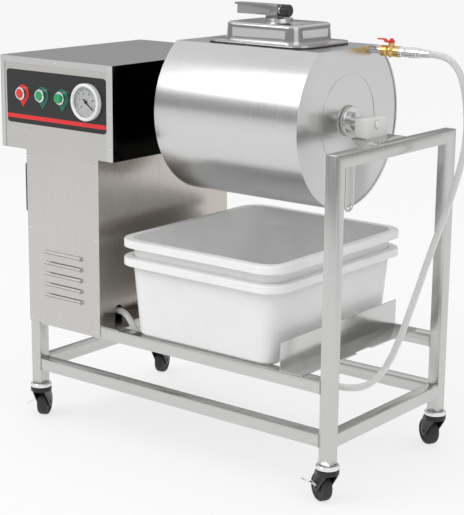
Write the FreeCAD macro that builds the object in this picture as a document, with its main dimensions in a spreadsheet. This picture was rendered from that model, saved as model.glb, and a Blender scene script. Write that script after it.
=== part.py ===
import FreeCAD, Part
import math
import os
import Sketcher

V = FreeCAD.Vector
doc = FreeCAD.newDocument("VacuumTumbler")

# ---------------------------------------------------------------------------
# Driving dimensions in millimetres.  Lengths are measured from the outer
# front left corner of the welded frame on the floor: X along the drum, Y to
# the back, Z up.  org_x and org_y bring the part's origin under its middle.
# ---------------------------------------------------------------------------
SIZES = [
    ("org_x", 423.5, "frame corner to the origin, along the drum"),
    ("org_y", 241.7, "frame corner to the origin, front to back"),
    ("fit_gap", 0.3, "clearance between separate pieces"),
    ("run_gap", 0.05, "running clearance on a shaft, on the radius"),
    # welded frame
    ("frame_len", 900.0, "frame, left to right"),
    ("frame_deep", 480.0, "frame, front to back"),
    ("tube", 30.0, "square tube, outside"),
    ("tube_wall", 1.5, "square tube, wall"),
    ("leg_foot", 93.0, "underside of the legs above the floor"),
    ("low_rail", 131.0, "underside of the lower rails"),
    ("shelf_rail", 251.0, "underside of the tub rails"),
    ("gantry_top", 769.0, "top of the bearing bar"),
    ("seat_long", 76.0, "bearing seat plate along the drum"),
    ("seat_lap", 12.0, "seat plate lying on the bar"),
    ("seat_deep", 110.0, "bearing seat plate, front to back"),
    ("seat_plate", 3.0, "bearing seat, thickness"),
    ("hook_rod", 6.0, "hose hook, rod diameter"),
    ("hook_wide", 33.0, "hose hook, outside width"),
    ("hook_drop", 100.0, "hose hook, length under the bar"),
    ("hook_from_leg", 22.0, "hose hook from the front leg"),
    ("stop_flange", 62.0, "tub stop, flat flange"),
    ("stop_up", 64.0, "tub stop, upright leg"),
    ("stop_sheet", 2.0, "tub stop, thickness"),
    ("stop_left", 763.0, "tub stop, upright face"),
    ("stop_long", 465.0, "tub stop, front to back"),
    # cabinet under the control box
    ("sheet", 1.5, "sheet metal"),
    ("cab_wide", 234.0, "cabinet, left to right"),
    ("cab_skirt", 255.0, "lower edge of the cabinet's sheets"),
    ("cab_fold", 12.0, "cabinet shell, folded front edges"),
    ("slot_wide", 26.0, "hose slot, width"),
    ("slot_high", 39.0, "hose slot, height"),
    ("slot_mid", 64.0, "hose slot, centre from the front"),
    ("louvre_long", 118.0, "louvre, length"),
    ("louvre_pitch", 26.6, "louvre, spacing"),
    ("louvre_high", 11.0, "louvre hood, height"),
    ("louvre_out", 7.0, "louvre hood, depth"),
    ("louvre_bow", 9.5, "louvre hood, radius of its back"),
    ("louvre_first", 325.0, "lowest louvre above the floor"),
    ("floor_lap", 54.0, "cabinet floor plate beyond the cabinet"),
    ("floor_lip", 14.0, "upturned lip of the floor plate"),
    ("vent_deep", 120.0, "side vent cover, front to back"),
    ("vent_high", 125.0, "side vent cover, height"),
    ("vent_thick", 8.0, "side vent cover, thickness"),
    ("vent_low", 525.0, "side vent cover, lower edge"),
    # control box
    ("box_over_left", 64.0, "control box beyond the cabinet, left"),
    ("box_wide", 363.0, "control box, left to right"),
    ("box_over_front", 20.0, "control box beyond the frame, front"),
    ("box_deep", 504.0, "control box, front to back"),
    ("box_low", 686.0, "underside of the control box"),
    ("box_high", 220.0, "control box, height"),
    ("edge_left", 13.0, "left front return of the cover"),
    ("edge_right", 20.0, "right front return of the cover"),
    ("edge_top", 15.0, "top front return of the cover"),
    ("shield_left", 20.0, "black control plate from the box's left side"),
    ("shield_wide", 321.0, "black control plate, width"),
    ("shield_low", 62.0, "black control plate above the box's underside"),
    ("shield_high", 127.0, "black control plate, height"),
    ("shield_thick", 1.0, "black control plate, thickness"),
    ("button_first", 75.0, "first button from the box's left side"),
    ("button_pitch", 64.5, "button spacing"),
    ("button_up", 134.0, "buttons above the box's underside"),
    ("button_rad", 10.8, "button cap, radius"),
    ("bezel_rad", 15.0, "button ring, radius"),
    ("bezel_out", 12.0, "button ring, height"),
    ("tag_rad", 20.0, "legend plate behind a button, radius"),
    ("tag_tip", 32.0, "legend plate, centre to tip"),
    ("tag_thick", 1.0, "legend plate, thickness"),
    ("gauge_from_left", 284.0, "gauge from the box's left side"),
    ("gauge_up", 132.0, "gauge above the box's underside"),
    ("gauge_rad", 43.0, "gauge case, radius"),
    ("gauge_out", 14.0, "gauge case in front of the plate"),
    ("gauge_ring", 6.0, "gauge case, ring width"),
    # drum
    ("drum_from", 368.0, "left end of the drum"),
    ("drum_long", 397.0, "drum, length"),
    ("drum_rad", 198.0, "drum, radius"),
    ("drum_up", 800.5, "drum axis above the floor"),
    ("drum_back", 0.5, "drum axis behind the middle of the frame"),
    ("drum_wall", 2.0, "drum, sheet"),
    ("drum_rim", 2.0, "drum shell proud of its end discs"),
    ("flat_up", 158.5, "flat of the drum above its axis"),
    ("mouth_long", 216.0, "drum mouth, along the drum"),
    ("mouth_deep", 136.0, "drum mouth, front to back"),
    ("mouth_round", 30.0, "drum mouth, corner radius"),
    ("rib_high", 40.0, "mixing rib, height"),
    ("rib_thick", 3.0, "mixing rib, thickness"),
    ("press_rad", 105.0, "pressed ring in the end disc, radius"),
    ("shaft_rad", 10.0, "drum shaft, radius"),
    ("hub_rad", 32.0, "drum hub, radius"),
    ("hub_thick", 8.0, "drum hub, thickness"),
    ("block_out", 61.0, "bearing block's outer face to the frame's end"),
    ("block_long", 30.0, "bearing block, along the drum"),
    ("block_deep", 84.0, "bearing block, front to back"),
    ("block_high", 42.0, "bearing block, height"),
    # lid
    ("lid_long", 280.0, "lid flange, along the drum"),
    ("lid_deep", 200.0, "lid flange, front to back"),
    ("lid_round", 38.0, "lid flange, corner radius"),
    ("lid_flange", 4.0, "lid flange, height"),
    ("gasket_thick", 3.0, "lid gasket, thickness"),
    ("dome_long", 208.0, "lid body, along the drum"),
    ("dome_deep", 160.0, "lid body, front to back"),
    ("dome_round", 30.0, "lid body, corner radius"),
    ("dome_high", 40.0, "lid body, height over its flange"),
    ("lid_mid", 569.0, "lid's centre from the frame's left end"),
    ("lid_wall", 3.0, "lid, wall"),
    ("emboss", 1.5, "pressed panel in the lid, depth"),
    ("pedestal_rad", 32.0, "round seat of the lid handle, radius"),
    ("pedestal_high", 8.0, "round seat of the lid handle, height"),
    ("handle_long", 122.0, "lid handle, from its post's right face"),
    ("handle_deep", 28.0, "lid handle, front to back"),
    ("handle_high", 20.0, "lid handle, height"),
    ("post_long", 33.0, "handle post, along the drum"),
    ("post_high", 30.0, "handle post, height"),
    ("knob_rad", 14.0, "vent knob, radius"),
    ("knob_long", 20.0, "vent knob, length"),
    # vacuum fittings
    ("valve_up", 148.0, "vacuum valve above the drum axis"),
    ("valve_back", 103.0, "vacuum valve behind the drum axis"),
    ("pipe_rad", 8.0, "valve nipple, radius"),
    ("nipple_long", 15.0, "valve nipple, length"),
    ("valve_long", 48.0, "ball valve, length"),
    ("valve_hex", 12.5, "ball valve, end radius"),
    ("plug_long", 14.0, "quick plug, length"),
    ("socket_long", 38.0, "quick socket, length"),
    ("ferrule_long", 24.0, "hose ferrule, length"),
    ("hose_rad", 8.0, "hose, radius"),
    # casters
    ("wheel_rad", 32.5, "caster wheel, radius"),
    ("wheel_wide", 25.0, "caster wheel, width"),
    ("trail", 25.0, "caster wheel centre behind its swivel"),
    ("ring_rad", 26.0, "caster swivel rings, radius"),
    ("axle_rad", 4.0, "caster axle, radius"),
    ("fork_plate", 2.5, "caster fork, sheet"),
    ("race_high", 10.5, "each caster swivel ring, height"),
    ("heading_fl", 117.0, "front left caster trails towards, degrees"),
    ("heading_fr", 152.0, "front right caster trails towards, degrees"),
    ("heading_bl", 110.0, "rear left caster trails towards, degrees"),
    ("heading_br", 150.0, "rear right caster trails towards, degrees"),
    ("tab_long", 30.0, "caster brake tab, length"),
    ("tab_wide", 22.0, "caster brake tab, width"),
    ("tab_up", 42.0, "caster brake tab, hinge above the floor"),
    ("tab_on", -32.0, "brake tab pressed down, degrees"),
    ("tab_off", 28.0, "brake tab lifted, degrees"),
    # tubs
    ("tub_from_stop", 31.0, "foot of the tubs to the tub stop"),
    ("tub_long", 396.0, "tub at its bottom, along the drum"),
    ("tub_inset", 14.0, "foot of the tub shorter than the frame is deep"),
    ("tub_flare_x", 15.0, "tub wider at its top, each side, along the drum"),
    ("tub_flare_y", 14.0, "tub wider at its top, each side, front and back"),
    ("tub_high", 189.0, "tub, height"),
    ("tub_wall", 2.5, "tub, wall"),
    ("tub_lip", 18.0, "tub rim beyond its wall"),
    ("tub_rim", 18.0, "tub rim, height"),
    ("tub_nest", 43.0, "upper tub above the lower one"),
    ("tub_corner", 35.0, "tub, corner radius at the bottom"),
    ("tub_foot", 6.0, "tub, bevel round its bottom"),
    # drive inside the box and the cabinet
    ("drive_from", 200.0, "belt plane from the frame's left end"),
    ("pulley_wide", 20.0, "belt pulley, width"),
    ("big_rad", 84.0, "drum pulley, radius under the belt"),
    ("small_rad", 28.0, "motor pulley, radius under the belt"),
    ("belt_wide", 13.0, "V belt, width at its back"),
    ("belt_high", 8.0, "V belt, height"),
    ("motor_up", 565.0, "motor shaft above the floor"),
    ("motor_rad", 52.0, "gear motor, radius"),
    ("pump_rad", 55.0, "pump motor, radius"),
    ("screw_rad", 3.6, "pan head screw, head radius"),
]
sheet = doc.addObject("Spreadsheet::Sheet", "Sizes")


class Size:
    """A length that knows its value and the expression that gives it."""

    def __init__(self, value, text):
        self.value = float(value)
        self.text = text

    @staticmethod
    def of(other):
        return other if isinstance(other, Size) else Size(other, "(%r)" % float(other))

    def __add__(self, other):
        o = Size.of(other)
        return Size(self.value + o.value, "(%s + %s)" % (self.text, o.text))

    def __sub__(self, other):
        o = Size.of(other)
        return Size(self.value - o.value, "(%s - %s)" % (self.text, o.text))

    def __mul__(self, other):
        o = Size.of(other)
        return Size(self.value * o.value, "(%s * %s)" % (self.text, o.text))

    def __truediv__(self, other):
        o = Size.of(other)
        return Size(self.value / o.value, "(%s / %s)" % (self.text, o.text))

    def __radd__(self, other):
        return Size.of(other) + self

    def __rsub__(self, other):
        return Size.of(other) - self

    def __rmul__(self, other):
        return Size.of(other) * self

    def __neg__(self):
        return Size(-self.value, "(-%s)" % self.text)

    def root(self):
        return Size(math.sqrt(self.value), "sqrt(%s)" % self.text)


class S:
    """The sheet's sizes by name."""


for row, (alias, value, note) in enumerate(SIZES, start=1):
    sheet.set("A%d" % row, alias)
    sheet.set("B%d" % row, str(value))
    sheet.setAlias("B%d" % row, alias)
    sheet.set("C%d" % row, note)
    setattr(S, alias, Size(value, "Sizes." + alias))
doc.recompute()

NODES = []


def bind(obj, prop, size):
    if isinstance(size, Size):
        obj.setExpression(prop, size.text)
    else:
        setattr(obj, prop, size)


def place(obj, at, axis=None, angle=0.0, world=True):
    """Puts obj at a point of the frame's own axes, turned about one axis."""
    turn = FreeCAD.Rotation(V(*axis), angle) if axis else FreeCAD.Rotation()
    x, y, z = (Size.of(c) for c in at)
    if world:
        x = x - S.org_x
        y = y - S.org_y
    obj.Placement = FreeCAD.Placement(V(x.value, y.value, z.value), turn)
    for name, c in zip("xyz", (x, y, z)):
        obj.setExpression(".Placement.Base." + name, c.text)
    return obj


def node(obj, name):
    """Registers obj as a sub-part that is written to its own file."""
    obj.Label = name
    NODES.append(obj)
    return obj


TO_X = ((0, 1, 0), 90.0)
TO_Y = ((1, 0, 0), -90.0)


def box(at, size, world=True):
    b = doc.addObject("Part::Box", "Block")
    for prop, s in zip(("Length", "Width", "Height"), size):
        bind(b, prop, Size.of(s))
    return place(b, at, world=world)


def rod(at, radius, length, along="Z", world=True):
    """A cylinder from `at`, along an axis."""
    c = doc.addObject("Part::Cylinder", "Rod")
    bind(c, "Radius", Size.of(radius))
    bind(c, "Height", Size.of(length))
    turn = {"X": TO_X, "Y": TO_Y, "Z": (None, 0.0)}[along]
    return place(c, at, turn[0], turn[1], world=world)


def cone(at, r1, r2, length, along="Z", world=True):
    c = doc.addObject("Part::Cone", "Taper")
    bind(c, "Radius1", Size.of(r1))
    bind(c, "Radius2", Size.of(r2))
    bind(c, "Height", Size.of(length))
    turn = {"X": TO_X, "Y": TO_Y, "Z": (None, 0.0)}[along]
    return place(c, at, turn[0], turn[1], world=world)


def fuse(*parts):
    if len(parts) == 1:
        return parts[0]
    f = doc.addObject("Part::MultiFuse", "Joined")
    f.Shapes = list(parts)
    f.Refine = True
    return f


def group(*parts):
    g = doc.addObject("Part::Compound", "Set")
    g.Links = list(parts)
    return g


def cut(base, *tools):
    c = doc.addObject("Part::Cut", "Trimmed")
    c.Base = base
    c.Tool = fuse(*tools)
    return c


def common(a, b):
    c = doc.addObject("Part::Common", "Kept")
    c.Base = a
    c.Tool = b
    return c


def holed_tube(outer, inner):
    """Welded square tubes: their outsides together, less their insides."""
    return cut(fuse(*outer), *inner)


class Piece:
    """A PartDesign body built from sketches on its own origin planes."""

    def __init__(self, at, axis=None, angle=0.0, world=True):
        self.body = doc.addObject("PartDesign::Body", "Piece")
        place(self.body, at, axis, angle, world)

    def plane(self, name):
        for f in self.body.Origin.OriginFeatures:
            if f.Role == name + "_Plane":
                return f

    def axis(self, name):
        for f in self.body.Origin.OriginFeatures:
            if f.Role == name + "_Axis":
                return f

    def sketch(self, plane, lift=None):
        sk = self.body.newObject("Sketcher::SketchObject", "Outline")
        sk.AttachmentSupport = (self.plane(plane), [""])
        sk.MapMode = "FlatFace"
        if lift is not None:
            lift = Size.of(lift)
            sk.AttachmentOffset = FreeCAD.Placement(V(0, 0, lift.value), FreeCAD.Rotation())
            sk.setExpression(".AttachmentOffset.Base.z", lift.text)
        return sk

    @staticmethod
    def pin(sk, geo, pos, x, y):
        """Fixes a sketch point by its distances from the sketch's origin."""
        for kind, axis_geo, value in (("DistanceX", -2, x), ("DistanceY", -1, y)):
            value = Size.of(value)
            if abs(value.value) < 1e-9:
                sk.addConstraint(Sketcher.Constraint("PointOnObject", geo, pos, axis_geo))
            elif value.value > 0:
                i = sk.addConstraint(Sketcher.Constraint(kind, -1, 1, geo, pos, value.value))
                sk.setExpression("Constraints[%d]" % i, value.text)
            else:
                i = sk.addConstraint(Sketcher.Constraint(kind, geo, pos, -1, 1, -value.value))
                sk.setExpression("Constraints[%d]" % i, (-value).text)

    def polygon(self, plane, points, lift=None):
        sk = self.sketch(plane, lift)
        pts = [(Size.of(x), Size.of(y)) for x, y in points]
        n = len(pts)
        for i in range(n):
            a, b = pts[i], pts[(i + 1) % n]
            sk.addGeometry(Part.LineSegment(V(a[0].value, a[1].value, 0),
                                            V(b[0].value, b[1].value, 0)), False)
        for i in range(n):
            sk.addConstraint(Sketcher.Constraint("Coincident", i, 2, (i + 1) % n, 1))
        for i in range(n):
            self.pin(sk, i, 1, *pts[i])
        return sk

    def circle(self, plane, radius, lift=None, mid=(0, 0)):
        sk = self.sketch(plane, lift)
        radius = Size.of(radius)
        mx, my = Size.of(mid[0]), Size.of(mid[1])
        sk.addGeometry(Part.Circle(V(mx.value, my.value, 0), V(0, 0, 1), radius.value), False)
        i = sk.addConstraint(Sketcher.Constraint("Radius", 0, radius.value))
        sk.setExpression("Constraints[%d]" % i, radius.text)
        self.pin(sk, 0, 3, mx, my)
        return sk

    def rounded(self, plane, half_x, half_y, radius, lift=None):
        """A rectangle about the sketch's origin with rounded corners."""
        sk = self.sketch(plane, lift)
        hx, hy, r = Size.of(half_x), Size.of(half_y), Size.of(radius)
        a, b, q = hx.value, hy.value, r.value
        lines = [((-a + q, -b), (a - q, -b)), ((a, -b + q), (a, b - q)),
                 ((a - q, b), (-a + q, b)), ((-a, b - q), (-a, -b + q))]
        mids = [(a - q, -b + q, -90), (a - q, b - q, 0), (-a + q, b - q, 90), (-a + q, -b + q, 180)]
        for p0, p1 in lines:
            sk.addGeometry(Part.LineSegment(V(*p0, 0), V(*p1, 0)), False)
        for mx, my, start in mids:
            c = Part.Circle(V(mx, my, 0), V(0, 0, 1), q)
            arc = Part.ArcOfCircle(c, math.radians(start), math.radians(start + 90))
            sk.addGeometry(arc, False)
        for i in range(4):
            sk.addConstraint(Sketcher.Constraint("Tangent", i, 2, 4 + i, 1))
            sk.addConstraint(Sketcher.Constraint("Tangent", 4 + i, 2, (i + 1) % 4, 1))
        for i in (0, 2):
            sk.addConstraint(Sketcher.Constraint("Horizontal", i))
            sk.addConstraint(Sketcher.Constraint("Vertical", i + 1))
        for kind, first, second, size in (("DistanceX", (-1, 1), (1, 1), hx),
                                          ("DistanceX", (3, 1), (-1, 1), hx),
                                          ("DistanceY", (-1, 1), (2, 1), hy),
                                          ("DistanceY", (0, 1), (-1, 1), hy)):
            i = sk.addConstraint(Sketcher.Constraint(kind, *first, *second, size.value))
            sk.setExpression("Constraints[%d]" % i, size.text)
        i = sk.addConstraint(Sketcher.Constraint("Radius", 4, q))
        sk.setExpression("Constraints[%d]" % i, r.text)
        for k in (5, 6, 7):
            sk.addConstraint(Sketcher.Constraint("Equal", 4, k))
        return sk

    def pad(self, sk, length, back=False, both=False, taper=None):
        f = self.body.newObject("PartDesign::Pad", "Pad")
        f.Profile = sk
        bind(f, "Length", Size.of(length))
        f.Reversed = back
        f.Midplane = both
        if taper is not None:
            bind(f, "TaperAngle", Size.of(taper))
        return f

    def pocket(self, sk, length, back=False, both=False, taper=None):
        f = self.body.newObject("PartDesign::Pocket", "Pocket")
        f.Profile = sk
        bind(f, "Length", Size.of(length))
        f.Reversed = back
        f.Midplane = both
        if taper is not None:
            bind(f, "TaperAngle", Size.of(taper))
        return f

    def loft(self, sketches, cutting=False):
        kind = "PartDesign::SubtractiveLoft" if cutting else "PartDesign::AdditiveLoft"
        f = self.body.newObject(kind, "Loft")
        f.Profile = sketches[0]
        f.Sections = sketches[1:]
        f.Ruled = True
        return f

    def turn(self, sk, axis, cutting=False):
        kind = "PartDesign::Groove" if cutting else "PartDesign::Revolution"
        f = self.body.newObject(kind, "Turned")
        f.Profile = sk
        f.ReferenceAxis = (self.axis(axis), [""])
        f.Angle = 360.0
        return f

    def row(self, features, axis, length, count):
        f = self.body.newObject("PartDesign::LinearPattern", "Row")
        f.Originals = features
        f.Direction = (self.axis(axis), [""])
        bind(f, "Length", Size.of(length))
        f.Occurrences = count
        self.body.Tip = f
        return f

    def around(self, features, axis, count):
        f = self.body.newObject("PartDesign::PolarPattern", "Ring")
        f.Originals = features
        f.Axis = (self.axis(axis), [""])
        f.Angle = 360.0
        f.Occurrences = count
        self.body.Tip = f
        return f

    def soften(self, feature, wanted, radius, kind="Fillet"):
        """Rounds or chamfers the edges of `feature` that `wanted` picks."""
        doc.recompute()
        names = ["Edge%d" % (i + 1) for i, e in enumerate(feature.Shape.Edges) if wanted(e)]
        f = self.body.newObject("PartDesign::" + kind, kind)
        f.Base = (feature, names)
        bind(f, "Radius" if kind == "Fillet" else "Size", Size.of(radius))
        return f


def lines_along(direction):
    d = V(*direction)

    def wanted(e):
        if e.Curve.TypeId != "Part::GeomLine":
            return False
        return abs(abs(e.Curve.Direction.dot(d)) - 1.0) < 1e-6
    return wanted


def at_height(z, tol=0.01):
    def wanted(e):
        return all(abs(v.Point.z - z) < tol for v in e.Vertexes)
    return wanted


def cosd(size):
    return Size(math.cos(math.radians(size.value)), "cos(%s * 1 deg)" % size.text)


def sind(size):
    return Size(math.sin(math.radians(size.value)), "sin(%s * 1 deg)" % size.text)


# ---------------------------------------------------------------------------
# Welded frame of square tube.  Every tube is a closed hollow section.
# ---------------------------------------------------------------------------
bore = S.tube - 2 * S.tube_wall
inner_deep = S.frame_deep - 2 * S.tube
inner_len = S.frame_len - 2 * S.tube
back_leg = S.frame_deep - S.tube
right_leg = S.frame_len - S.tube
shelf_top = S.shelf_rail + S.tube
bar_low = S.gantry_top - S.tube


def leg(x, y, top):
    high = top - S.leg_foot
    outer = box((x, y, S.leg_foot), (S.tube, S.tube, high))
    w = S.tube_wall
    inner = box((x + w, y + w, S.leg_foot + w), (bore, bore, high - 2 * w))
    return outer, inner


def cross(x, z):
    outer = box((x, S.tube, z), (S.tube, inner_deep, S.tube))
    inner = box((x + S.tube_wall, S.tube, z + S.tube_wall), (bore, inner_deep, bore))
    return outer, inner


def frame_end(name, pairs):
    return node(holed_tube([p[0] for p in pairs], [p[1] for p in pairs]), name)


frame_end("frame_end_left", [leg(0, 0, shelf_top), leg(0, back_leg, shelf_top),
                             cross(0, S.low_rail), cross(0, S.shelf_rail)])
frame_end("frame_end_right", [leg(right_leg, 0, S.gantry_top),
                              leg(right_leg, back_leg, S.gantry_top),
                              cross(right_leg, S.low_rail), cross(right_leg, bar_low)])


def rail(name, y, z):
    w = S.tube_wall
    outer = box((S.tube, y, z), (inner_len, S.tube, S.tube))
    inner = box((S.tube, y + w, z + w), (inner_len, bore, bore))
    return node(cut(outer, inner), name)


rail("rail_low_front", 0, S.low_rail)
rail("rail_low_back", back_leg, S.low_rail)
rail("rail_shelf_front", 0, S.shelf_rail)
rail("rail_shelf_back", back_leg, S.shelf_rail)

# Angle that keeps the tubs from sliding to the right.
stop = Piece((S.stop_left, 0, shelf_top))
t = S.stop_sheet
angle = stop.polygon("XZ", [(0, 0), (S.stop_flange, 0), (S.stop_flange, t), (t, t),
                            (t, S.stop_up), (0, S.stop_up)])
stop_pad = stop.pad(angle, S.stop_long, back=True)
notch = stop.polygon("XY", [(S.stop_flange - 8, S.frame_deep / 2 - 30),
                            (S.stop_flange + 1, S.frame_deep / 2 - 30),
                            (S.stop_flange + 1, S.frame_deep / 2 + 30),
                            (S.stop_flange - 8, S.frame_deep / 2 + 30)])
stop.pocket(notch, 3 * t, both=True)
node(stop.body, "tub_stop")

# ---------------------------------------------------------------------------
# Bearing seat on the right-hand bar: a plate with two bent cheeks, a plastic
# plain bearing block on it, and a rod loop below that the hose hangs in.
# ---------------------------------------------------------------------------
axis_y = S.frame_deep / 2 + S.drum_back
axis_z = S.drum_up
seat_x = right_leg + S.seat_lap - S.seat_long
seat_top = S.gantry_top + S.seat_plate
seat = Piece((seat_x + S.seat_long / 2, axis_y, S.gantry_top))
plate = seat.pad(seat.rounded("XY", S.seat_long / 2, S.seat_deep / 2, 8), S.seat_plate)
cheek_in = S.seat_long / 2 - S.seat_lap
side = S.seat_deep / 2
for sign in (1, -1):
    edge = sign * side - (S.seat_plate if sign > 0 else 0)
    cheek = seat.sketch("XZ", -edge)
    pts = [(cheek_in, 0), (12 - S.seat_long / 2, 0), (12 - S.seat_long / 2, -6),
           (cheek_in - 22, -S.tube + 3), (cheek_in, -S.tube + 3)]
    pts = [(Size.of(a), Size.of(b)) for a, b in pts]
    for i in range(5):
        a, b = pts[i], pts[(i + 1) % 5]
        cheek.addGeometry(Part.LineSegment(V(a[0].value, a[1].value, 0),
                                           V(b[0].value, b[1].value, 0)), False)
    for i in range(5):
        cheek.addConstraint(Sketcher.Constraint("Coincident", i, 2, (i + 1) % 5, 1))
    for i in range(5):
        Piece.pin(cheek, i, 1, *pts[i])
    seat.pad(cheek, S.seat_plate, back=True)
node(seat.body, "bearing_seat")

block_x = S.frame_len - S.block_out - S.block_long
block = Piece((block_x, axis_y, seat_top))
half = S.block_deep / 2
rise = axis_z - seat_top
face = block.polygon("YZ", [(-half, 0), (half, 0), (half, S.block_high), (-half, S.block_high)])
block_pad = block.pad(face, S.block_long)
block_soft = block.soften(block_pad, lines_along((1, 0, 0)), 2.5)
block.pocket(block.circle("YZ", S.shaft_rad + S.run_gap, mid=(0, rise)), S.block_long * 2,
             both=True)
node(block.body, "bearing_block")

hook_y = S.tube + S.hook_from_leg + S.hook_wide / 2
hook_x = right_leg + S.tube / 2
reach = S.hook_wide / 2 - S.hook_rod / 2
bend_z = bar_low - S.hook_drop + S.hook_wide / 2
bow = doc.addObject("Part::Torus", "Bow")
bind(bow, "Radius1", reach)
bind(bow, "Radius2", S.hook_rod / 2)
bow.Angle3 = 180
place(bow, (hook_x, hook_y, bend_z), (-1, -1, 1), 120)
hook_arms = [rod((hook_x, hook_y + k * reach, bend_z), S.hook_rod / 2, bar_low - bend_z)
             for k in (-1, 1)]
node(fuse(bow, *hook_arms), "hose_hook")

# ---------------------------------------------------------------------------
# Cabinet: floor plate with an upturned lip, a folded shell with the hose slot
# and a louvred front.
# ---------------------------------------------------------------------------
t = S.sheet
floor_len = S.cab_wide + S.floor_lap
plate = Piece((0, 0, shelf_top))
plate.pad(plate.polygon("XZ", [(0, 0), (floor_len, 0), (floor_len, t), (0, t)]),
          S.frame_deep, back=True)
lip_from = S.slot_mid - S.hose_rad / 4
lip = plate.polygon("YZ", [(lip_from, t), (S.frame_deep, t), (S.frame_deep, S.floor_lip),
                           (lip_from, S.floor_lip)], lift=floor_len - t)
plate.pad(lip, t)
node(plate.body, "cabinet_floor")

floor_top = shelf_top + t
shell = Piece((0, 0, S.cab_skirt))
right_in = S.cab_wide - t
fold = S.cab_fold
profile = [(-t, 0), (fold, 0), (fold, t), (0, t), (0, S.frame_deep), (right_in, S.frame_deep),
           (right_in, t), (right_in - fold, t), (right_in - fold, 0), (S.cab_wide, 0),
           (S.cab_wide, S.frame_deep + t), (-t, S.frame_deep + t)]
wall_pad = shell.pad(shell.polygon("XY", profile), S.box_low - S.cab_skirt)
skirt = floor_top - S.cab_skirt
lower = box((0, -1, S.cab_skirt - 1), (S.cab_wide + 1, S.frame_deep + 1, skirt + 1))
slot_low = box((right_in - 1, S.slot_mid - S.slot_wide / 2, floor_top - 1),
               (t + 2, S.slot_wide, S.slot_high - S.slot_wide / 2 + 1))
slot_top = rod((right_in - 1, S.slot_mid, floor_top + S.slot_high - S.slot_wide / 2),
               S.slot_wide / 2, t + 2, "X")
vent_mid = Size.of(2) + S.vent_deep / 2
vent_hole = box((-t - 1, vent_mid - S.vent_deep * 0.4, S.vent_low + S.vent_high * 0.1),
                (t + 2, S.vent_deep * 0.8, S.vent_high * 0.8))
node(cut(shell.body, lower, slot_low, slot_top, vent_hole), "cabinet_shell")

front = Piece((0, 0, S.cab_skirt))
front.pad(front.polygon("XZ", [(-t, 0), (S.cab_wide, 0), (S.cab_wide, S.box_low - S.cab_skirt),
                               (-t, S.box_low - S.cab_skirt)]), t)


def hood(piece, lift, inset, drop):
    """Louvre profile on the sheet's front face: a flat foot and a bowed back."""
    sk = piece.sketch("YZ", lift)
    foot = S.louvre_first - S.cab_skirt
    root = (2 * S.sheet if drop else Size.of(0)) - S.sheet
    a = (root, foot - drop)
    b = (inset - S.sheet - S.louvre_out, foot - drop)
    c = (root, foot + S.louvre_high - 1.5 * inset)
    pa, pb, pc = [V(q[0].value, q[1].value, 0) for q in (a, b, c)]
    chord = pb - pc
    bow = S.louvre_bow.value
    side = V(chord.y, -chord.x, 0).normalize()
    mid = (pb + pc) * 0.5 - side * math.sqrt(bow ** 2 - chord.Length ** 2 / 4)
    start = math.atan2(pc.y - mid.y, pc.x - mid.x)
    end = math.atan2(pb.y - mid.y, pb.x - mid.x)
    sk.addGeometry(Part.LineSegment(pa, pb), False)
    sk.addGeometry(Part.ArcOfCircle(Part.Circle(mid, V(0, 0, 1), bow), start, end), False)
    sk.addGeometry(Part.LineSegment(pc, pa), False)
    sk.addConstraint(Sketcher.Constraint("Coincident", 0, 2, 1, 2))
    sk.addConstraint(Sketcher.Constraint("Coincident", 1, 1, 2, 1))
    sk.addConstraint(Sketcher.Constraint("Coincident", 2, 2, 0, 1))
    Piece.pin(sk, 0, 1, *a)
    Piece.pin(sk, 0, 2, *b)
    Piece.pin(sk, 2, 1, *c)
    i = sk.addConstraint(Sketcher.Constraint("Radius", 1, bow))
    sk.setExpression("Constraints[%d]" % i, S.louvre_bow.text)
    return sk


louvre_x = (S.cab_wide - S.louvre_long) / 2
shell_t = 1.2
out_sk = hood(front, louvre_x, Size.of(0), 0)
out_pad = front.pad(out_sk, S.louvre_long)
in_sk = hood(front, louvre_x + shell_t, Size.of(shell_t), 1)
in_cut = front.pocket(in_sk, S.louvre_long - 2 * shell_t, back=True)
front.row([out_pad, in_cut], "Z", S.louvre_pitch * 4, 5)
node(front.body, "cabinet_front")

cover = Piece((-t, vent_mid, S.vent_low + S.vent_high / 2))
vent_sk = cover.rounded("YZ", S.vent_deep / 2, S.vent_high / 2, 10)
vent_pad = cover.pad(vent_sk, S.vent_thick, back=True)
hollow = cover.rounded("YZ", S.vent_deep / 2 - 3, S.vent_high / 2 - 3, 7)
cover.pocket(hollow, S.vent_thick - 2)
slit = cover.polygon("YZ", [(-S.vent_deep * 0.36, -S.vent_high * 0.36),
                            (S.vent_deep * 0.36, -S.vent_high * 0.36),
                            (S.vent_deep * 0.36, -S.vent_high * 0.36 + 5),
                            (-S.vent_deep * 0.36, -S.vent_high * 0.36 + 5)])
slit_cut = cover.pocket(slit, S.vent_thick * 2, both=True)
cover.row([slit_cut], "Z", S.vent_high * 0.68, 8)
node(cover.body, "vent_cover")

# ---------------------------------------------------------------------------
# Control box: folded cover, chassis and front plate; operating elements.
# ---------------------------------------------------------------------------
t = S.sheet
box_x = -S.box_over_left
box_y = -S.box_over_front
top_in = S.box_high - t
cover = Piece((box_x, box_y, S.box_low))
hood_sk = cover.polygon("XZ", [(0, 0), (t, 0), (t, top_in), (S.box_wide - t, top_in),
                               (S.box_wide - t, 0), (S.box_wide, 0),
                               (S.box_wide, S.box_high), (0, S.box_high)])
hood_pad = cover.pad(hood_sk, S.box_deep, back=True)
edges = cover.polygon("XZ", [(0, 0), (S.edge_left, 0), (S.edge_left, S.box_high - S.edge_top),
                             (S.box_wide - S.edge_right, S.box_high - S.edge_top),
                             (S.box_wide - S.edge_right, 0), (S.box_wide, 0),
                             (S.box_wide, S.box_high), (0, S.box_high)])
cover.pad(edges, t, back=True)
shaft_hole = rod((box_x + S.box_wide - 5 * t, axis_y, axis_z), S.shaft_rad + 6, 10 * t, "X")
node(cut(cover.body, shaft_hole), "box_cover")

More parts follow.
